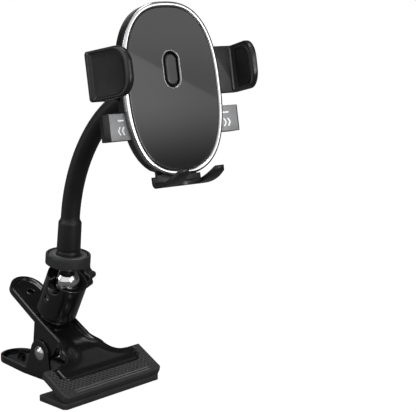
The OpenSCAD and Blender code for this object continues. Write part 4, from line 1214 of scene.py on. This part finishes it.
def arm(side, name):
    base = cradle.tr((0, ARM_V, 0)) if side < 0 else cradle.tr((0, ARM_V, 0)).rot("z", 180)
    pf = base.tr((-52.3, 0, -7.7)).rot("y", LEAN_IN).tr((0, 0, -3)).rot("x", 90).rot("z", 0)
    # paddle frame: local x is the height, y the length to the front, z runs outwards
    m = base.tr((-52.3, 0, -7.7)).rot("y", LEAN_IN).tr((0, 0, -3))
    pf = Fr(m.r @ rmat("x", 90) @ rmat("y", -90) @ np.diag([-1.0, 1.0, 1.0]), m.t)
    h, L = 15.5, PAD_L + 3
    outline = fillet([(-h, 0, 1.0), (h, 0, 1.0), (h, L, 12), (-h, L, 12)], 14)
    outline = resample(outline, 200)
    lv = round_over(0.6, 0.0, -1, 3) + [(0.0, 2.2), (0.06, 2.7), (0.25, 3.2), (0.6, 3.55), (1.0, 3.7)]
    field = fillet([(-h + 1.7, 4.6, 1.0), (h - 1.7, 4.6, 1.0), (h - 1.7, L - 5.2, 9.0), (-h + 1.7, L - 5.2, 9.0)], 12)
    rings = [at(outline, d, z) for d, z in lv]
    f0 = follow(outline, field, (0, 20))
    f1 = follow(outline, inset(resample(field, 300), 0.3), (0, 20))
    f2 = follow(outline, inset(resample(field, 300), 0.8), (0, 20))
    rings += [np.hstack([f0, np.full((len(f0), 1), 3.66)]), np.hstack([f1, np.full((len(f1), 1), 3.3)]), np.hstack([f2, np.full((len(f2), 1), 3.12)])]
    pad_f = stack(f"{name}_paddle", rings, pf, M["arm_plastic"], sharp=50)
    pad_f.data.materials.append(M["arm_field"])
    for poly in pad_f.data.polygons:
        c = pf.r.T @ (np.array(poly.center) / MM - pf.t)
        if len(poly.vertices) > 8 and c[2] > 2:
            poly.material_index = 1
    # plate that slides in the shell, with rounded edges
    plate = prism("plate", fillet([(-55.9, -15.5, 2.0), (-36.2, -15.5, .4), (-36.2, 15.5, .4), (-55.9, 15.5, 2.0)], 5), -11.2, -7.7, base, M["arm_plastic"], 0.5)
    blend_in = prism("root", fillet([(-56.1, -14.4, 1.5), (-50.3, -14.4, 1.0), (-50.3, 14.4, 1.0), (-56.1, 14.4, 1.5)], 4), -10.9, -6.6, base, M["arm_plastic"], 0.7)
    rk = rack(base, M["arm_plastic"])
    ob = join([pad_f, plate, blend_in, rk], f"{name}_body")
    put(ob, name, [{"arm_left": "left_arm", "arm_right": "right_arm"}[name]])
    # rubber pad on the grip, with a fine step near its border
    po_ = fillet([(-12.9, 12.4, 1.2), (12.9, 12.4, 1.2), (12.9, L - 2.6, 9.6), (-12.9, L - 2.6, 9.6)], 10)
    po_ = resample(po_, 160)
    lv = [at(po_, 0, 0.05), at(po_, 0, -0.7), at(po_, 0.15, -1.0), at(po_, 0.55, -1.18), at(po_, 1.6, -1.2), at(po_, 1.9, -1.05), at(po_, 2.3, -1.05), at(po_, 2.6, -1.2)]
    pd = stack(f"{name}_pad", lv, pf.flip((1, 1, 1)), M["grip_rubber"], sharp=40)
    put(pd, name, [{"arm_left": "left_arm_pad", "arm_right": "right_arm_pad"}[name]])
    return pf


arm(-1, "arm_left")
arm(1, "arm_right")


# ---------------------------------------------------------------- release levers
def lever(side, name):
    f = cradle.flip((side * -1.0, 1, 1)) if side > 0 else cradle
    # profile drawn in u and w, raised along v
    g = Fr(f.r @ np.array([[1, 0, 0], [0, 0, 1], [0, 1, 0]], float), f.p((0, -30, 0)))
    prof_ = fillet([(-28, -11.2, .2), (-40, -11.2, 1.0), (-42.6, -13.4, 1.2), (-48.55, -13.4, .3), (-48.55, -2.6, .25), (-37, -3.9, .6), (-28, -4.2, .2)], 4)
    ar = 0.5 * np.sum(prof_[:, 0] * np.roll(prof_[:, 1], -1) - np.roll(prof_[:, 0], -1) * prof_[:, 1])
    if ar < 0:
        prof_ = prof_[::-1]
    body_ = prism("lever", prof_, 0, 17, g, M["lever_silver"], 0.5)
    node = {"lever_left": "left_lever", "lever_right": "right_lever"}[name]
    put(body_, name, [node])
    body_.name = f"{name}_body"
    cap = fillet([(-48.7, -13.35, .2), (-49.6, -12.8, .6), (-50.1, -8, 3.0), (-49.6, -3.2, .6), (-48.7, -2.65, .2)], 4)
    ar = 0.5 * np.sum(cap[:, 0] * np.roll(cap[:, 1], -1) - np.roll(cap[:, 0], -1) * cap[:, 1])
    if ar < 0:
        cap = cap[::-1]
    cp = prism(f"{name}_cap", cap, 0.05, 16.95, g, M["arm_plastic"], 0.35)
    put(cp, name, [node + "_cap"])
    # plain marks on the sloping front face: a bar over two arrows
    k = f.tr((-48.55, 0, -2.6)).rot("y", math.degrees(math.atan2(1.3, 11.55)))
    marks_ = [prism("mark", fillet([(6.3, -18.0, .2), (10.9, -18.0, .2), (10.9, -17.0, .2), (6.3, -17.0, .2)], 2), -0.12, 0.12, k, M["mark_white"], 0.03, r0=0.01, n=1)]
    for uu in (5.7, 8.7):
        t2 = np.array([(uu + 2.3, -26.6), (uu + 0.9, -24.0), (uu + 2.3, -21.4), (uu + 1.2, -21.4), (uu - 0.2, -24.0), (uu + 1.2, -26.6)])
        ar = 0.5 * np.sum(t2[:, 0] * np.roll(t2[:, 1], -1) - np.roll(t2[:, 0], -1) * t2[:, 1])
        t2 = t2 if ar > 0 else t2[::-1]
        marks_.append(stack("mark", [[(q[0], q[1], -0.12) for q in t2], [(q[0], q[1], 0.12) for q in t2]], k, M["mark_white"]))
    mk = join(marks_, f"{name}_marks")
    put(mk, name)


lever(-1, "lever_left")
lever(1, "lever_right")

# ---------------------------------------------------------------- foot with two upturned toes
FT = 2.8
prof_ = [(-11.2, -34.0), (-11.2, -58.0)]
prof_ += [(-7.4 + 3.8 * math.cos(q), -58 + 3.8 * math.sin(q)) for q in np.linspace(math.pi, 1.5 * math.pi, 9)[1:]]
out_line = resample(np.array([(-7.4, -61.8), (2, -61.6), (10, -59.6), (18, -56), (21.6, -53.4)]), 14, False)
in_line = resample(np.array([(20.2, -51.4), (16.4, -53.9), (9, -57), (1.6, -58.9), (-7.4, -59)]), 14, False)
for _ in range(6):
    for ln in (out_line, in_line):
        ln[1:-1] = (ln[:-2] + 2 * ln[1:-1] + ln[2:]) / 4
prof_ += [tuple(q) for q in out_line[1:]] + [(21.95, -52.4), (21.4, -51.55), (20.9, -51.35)] + [tuple(q) for q in in_line]
prof_ += [(-7.4 + 1.0 * math.cos(q), -58 + 1.0 * math.sin(q)) for q in np.linspace(1.5 * math.pi, math.pi, 6)[1:]]
prof_ += [(-8.4, -34.0)]
prof_ = np.array(prof_)
g = Fr(cradle.r @ np.array([[0, 0, -1], [0, 1, 0], [1, 0, 0]], float), cradle.t)   # x to the front, y up, z to -u
ar = 0.5 * np.sum(prof_[:, 0] * np.roll(prof_[:, 1], -1) - np.roll(prof_[:, 0], -1) * prof_[:, 1])
if ar < 0:
    prof_ = prof_[::-1]
toe = stack("foot_body", [[(a_, b_, -18.0) for a_, b_ in prof_], [(a_, b_, 18.0) for a_, b_ in prof_]], g, M["arm_plastic"])
u_shape = [(-8.6, 40.0), (-8.6, 6.0)] + [(8.6 * math.cos(q), 6 + 8.6 * math.sin(q)) for q in np.linspace(math.pi, 2 * math.pi, 25)[1:]] + [(8.6, 40.0)]
uc = Fr(cradle.r @ np.array([[1, 0, 0], [0, 0, 1], [0, 1, 0]], float), cradle.p((0, -70, 0)))
cutter = stack("cutter", [[(a_, b_, 0.0) for a_, b_ in u_shape], [(a_, b_, 30.0) for a_, b_ in u_shape]], uc)
# the toes' round tips in plan
tip = [(13.3 + 4.05 * math.cos(q), 17.9 + 4.05 * math.sin(q)) for q in np.linspace(0, math.pi, 25)]
right_tip = [(18.0, 12.0)] + tip + [(8.6, 12.0)]
left_tip = [(-q[0], q[1]) for q in right_tip][::-1]
plan = [(18.6, 12.0), (18.6, 24.0), (-18.6, 24.0), (-18.6, 12.0)] + [(-18.0, 12.0)] + left_tip[::-1][1:-1] + [(-8.6, 12.0), (8.6, 12.0)] + right_tip[::-1][1:-1] + [(18.0, 12.0)]
round_cut = stack("cutter", [[(a_, b_, 0.0) for a_, b_ in plan], [(a_, b_, 30.0) for a_, b_ in plan]], uc)
cut(toe, [cutter, round_cut, box_cutter((15, -54.5, -14), (30, -24.5, -8), cradle), box_cutter((-30, -54.5, -14), (-15, -24.5, -8), cradle)])
soften(toe, 0.75, 3, 40)
put(toe, "foot", ["foot_bracket"])

# ---------------------------------------------------------------- floor, camera and light
size = {"cad": [list(cad_lo), list(cad_hi)]}


def plane(name, pts, mat):
    me = bpy.data.meshes.new(name)
    me.from_pydata([tuple(np.array(p) * MM) for p in pts], [], [tuple(range(len(pts)))])
    ob = bpy.data.objects.new(name, me)
    bpy.context.scene.collection.objects.link(ob)
    me.materials.append(mat)
    return ob


def glow(name, color, strength):
    m = bpy.data.materials.new(name)
    m.use_nodes = True
    nt = m.node_tree
    nt.nodes.clear()
    o = nt.nodes.new("ShaderNodeOutputMaterial")
    e = nt.nodes.new("ShaderNodeEmission")
    e.inputs["Color"].default_value = (*color, 1)
    e.inputs["Strength"].default_value = strength
    nt.links.new(e.outputs["Emission"], o.inputs["Surface"])
    return m, nt, e


def by_ray(nt, seen, other, out):
    """One shader for the camera's own rays, another for light and reflections."""
    lp = nt.nodes.new("ShaderNodeLightPath")
    mx = nt.nodes.new("ShaderNodeMixShader")
    nt.links.new(lp.outputs["Is Camera Ray"], mx.inputs["Fac"])
    nt.links.new(other, mx.inputs[1])
    nt.links.new(seen, mx.inputs[2])
    nt.links.new(mx.outputs["Shader"], out)


fm = bpy.data.materials.new("floor_paper")
fm.use_nodes = True
nt = fm.node_tree
nt.nodes.clear()
fo = nt.nodes.new("ShaderNodeOutputMaterial")
f1 = nt.nodes.new("ShaderNodeBsdfPrincipled")
f1.inputs["Base Color"].default_value = (0.03, 0.03, 0.03, 1)
f1.inputs["Roughness"].default_value = 0.9
f1.inputs["Emission Color"].default_value = (1, 1, 1, 1)
f1.inputs["Emission Strength"].default_value = 0.985
f2 = nt.nodes.new("ShaderNodeBsdfPrincipled")
f2.inputs["Base Color"].default_value = (0.12, 0.12, 0.12, 1)
f2.inputs["Roughness"].default_value = 0.9
by_ray(nt, f1.outputs["BSDF"], f2.outputs["BSDF"], fo.inputs["Surface"])
floor = plane("floor", [(-6000, -6000, -0.1), (6000, -6000, -0.1), (6000, 6000, -0.1), (-6000, 6000, -0.1)], fm)
floor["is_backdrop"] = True

target = np.array([125.98, 14.35, 114.55])
back = np.array([-0.7094, -0.6779, 0.1927])
back = back / np.linalg.norm(back)
cam_p = target + back * 912.8
cam_d = bpy.data.cameras.new("camera")
cam_d.lens, cam_d.sensor_width = 100.82, 36.0
cam_d.clip_start, cam_d.clip_end = 0.01, 50
cam = bpy.data.objects.new("camera", cam_d)
bpy.context.scene.collection.objects.link(cam)
cam.location = Vector(tuple(cam_p * MM))
cam.rotation_euler = Vector(tuple(back)).to_track_quat("Z", "Y").to_euler()
bpy.context.scene.camera = cam

w = bpy.data.worlds.new("studio")
bpy.context.scene.world = w
w.use_nodes = True
nt = w.node_tree
nt.nodes.clear()
wo = nt.nodes.new("ShaderNodeOutputWorld")
b1 = nt.nodes.new("ShaderNodeBackground")
b1.inputs["Color"].default_value = (0.97, 0.98, 1.0, 1)
# a broad soft light from the viewer's side, falling off to nearly dark behind the object
wt = nt.nodes.new("ShaderNodeTexCoord")
wd = nt.nodes.new("ShaderNodeVectorMath")
wd.operation = "DOT_PRODUCT"
wd.inputs[1].default_value = tuple(back)
nt.links.new(wt.outputs["Generated"], wd.inputs[0])
wr = nt.nodes.new("ShaderNodeMapRange")
wr.interpolation_type = "SMOOTHSTEP"
wr.inputs["From Min"].default_value = -0.15
wr.inputs["From Max"].default_value = 0.95
wr.inputs["To Min"].default_value = 0.04
wr.inputs["To Max"].default_value = 0.8
nt.links.new(wd.outputs["Value"], wr.inputs["Value"])
nt.links.new(wr.outputs["Result"], b1.inputs["Strength"])
b2 = nt.nodes.new("ShaderNodeBackground")
b2.inputs["Color"].default_value = (1, 1, 1, 1)
b2.inputs["Strength"].default_value = 1.0
by_ray(nt, b2.outputs["Background"], b1.outputs["Background"], wo.inputs["Surface"])


def area(name, where, at_, w_, h_, power, color=(1, 1, 1)):
    """A soft box; where and at_ in millimetres."""
    ld = bpy.data.lights.new(name, "AREA")
    ld.shape, ld.size, ld.size_y = "RECTANGLE", w_ * MM, h_ * MM
    ld.energy, ld.color = power, color
    ob = bpy.data.objects.new(name, ld)
    bpy.context.scene.collection.objects.link(ob)
    ob.location = Vector(tuple(np.array(where, float) * MM))
    d = np.array(where, float) - np.array(at_, float)
    ob.rotation_euler = Vector(tuple(d)).to_track_quat("Z", "Y").to_euler()
    return ob


mid = (0, 0, 120)
right_v = np.cross((0, 0, 1), back)
right_v /= np.linalg.norm(right_v)
up_v = np.cross(back, right_v)


def from_cam(r, u, b):
    """A place given right, up and towards the camera from the object's middle."""
    return np.array(mid, float) + right_v * r + up_v * u + back * b


LIGHTS = [
    ("key_left", from_cam(-900, 450, 350), 180, 800, 1.6),
    ("key_right", np.array(mid) + np.array((0.72, -0.08, 0.69)) * 1000, 300, 260, 0.07),
    ("top_box", from_cam(0, 1000, 150), 600, 360, 3.0),
    ("rim_back", from_cam(-250, 650, -950), 900, 240, 0.35),
    ("side_left", np.array(mid) + np.array((-0.71, 0.68, -0.06)) * 1000, 520, 560, 0.55),
    ("front_low", from_cam(680, -20, 730), 240, 460, 2.1),
    ("back_fill", from_cam(-250, 450, -900), 900, 700, 5.0),
]
for nm, where, aw, ah, pw in LIGHTS:
    area(nm, where, mid, aw, ah, pw)
for ob in bpy.data.objects:
    if ob.name.startswith("back_fill"):
        ob.visible_glossy = False

# a soft graded card in front of the cradle, which its clear face and bright ring reflect
def card():
    nu, nv = 150, 210
    us, vs = np.linspace(-62, 62, nu), np.linspace(-92, 92, nv)
    U, V = np.meshgrid(us, vs)
    P = cradle.pts(np.stack([U.ravel(), V.ravel(), np.full(U.size, -0.3)], 1))
    n = cradle.d(Z)
    v = cam_p - P
    v /= np.linalg.norm(v, axis=1)[:, None]
    r = 2 * (v @ n)[:, None] * n - v
    c0 = cradle.p((0, 0, 0))
    v0 = (cam_p - c0) / np.linalg.norm(cam_p - c0)
    r0 = 2 * (v0 @ n) * n - v0
    c1 = c0 + r0 * 520
    t = ((c1 - P) @ r0) / (r @ r0)
    Q = P + r * t[:, None]
    e = np.abs(U.ravel() / ((BW - 6.4) / 2)) ** 2.53 + np.abs(V.ravel() / ((BL - 6.4) / 2)) ** 2.53
    u_, v_ = U.ravel(), V.ravel()
    line = CARD_A + CARD_B * u_
    above = v_ > line
    lum = np.where(above, 0.90 + 0.36 * smooth01(0, 40, v_), 1.52 * (1 - smooth01(-6, -56, v_)) ** 1.1 * (1 - 0.25 * smooth01(-30, 36, u_)) + 0.10)
    lum = np.where(e > 1.0, RING_L, lum)
    me = bpy.data.meshes.new("card")
    me.from_pydata((Q * MM).tolist(), [], quads(nv, nu, False, False))
    att = me.attributes.new("lum", "FLOAT", "POINT")
    att.data.foreach_set("value", lum.astype(np.float32))
    m, nt, em = glow("card_glow", (1, 1, 1), 1.0)
    an = nt.nodes.new("ShaderNodeAttribute")
    an.attribute_name = "lum"
    nt.links.new(an.outputs["Fac"], em.inputs["Strength"])
    me.materials.append(m)
    ob = bpy.data.objects.new("card", me)
    bpy.context.scene.collection.objects.link(ob)
    ob.visible_camera = ob.visible_diffuse = ob.visible_shadow = ob.visible_transmission = False
    ob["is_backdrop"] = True


CARD_A, CARD_B, RING_L = 8.63, -0.52, 2.6
card()
# the clear face shows only the studio's light, without the arms
for ob in bpy.data.objects:
    if ob.name.startswith(("arm_left", "arm_right")):
        ob.visible_glossy = False

bpy.context.scene.view_settings.view_transform = "Standard"
bpy.context.scene.view_settings.look = "None"
for node, ob in frame["nodes"].items():
    if not ob.hide_render:
        size.setdefault("kept", []).append(node)
lo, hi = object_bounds()
size["visual"] = [list(lo), list(hi)]
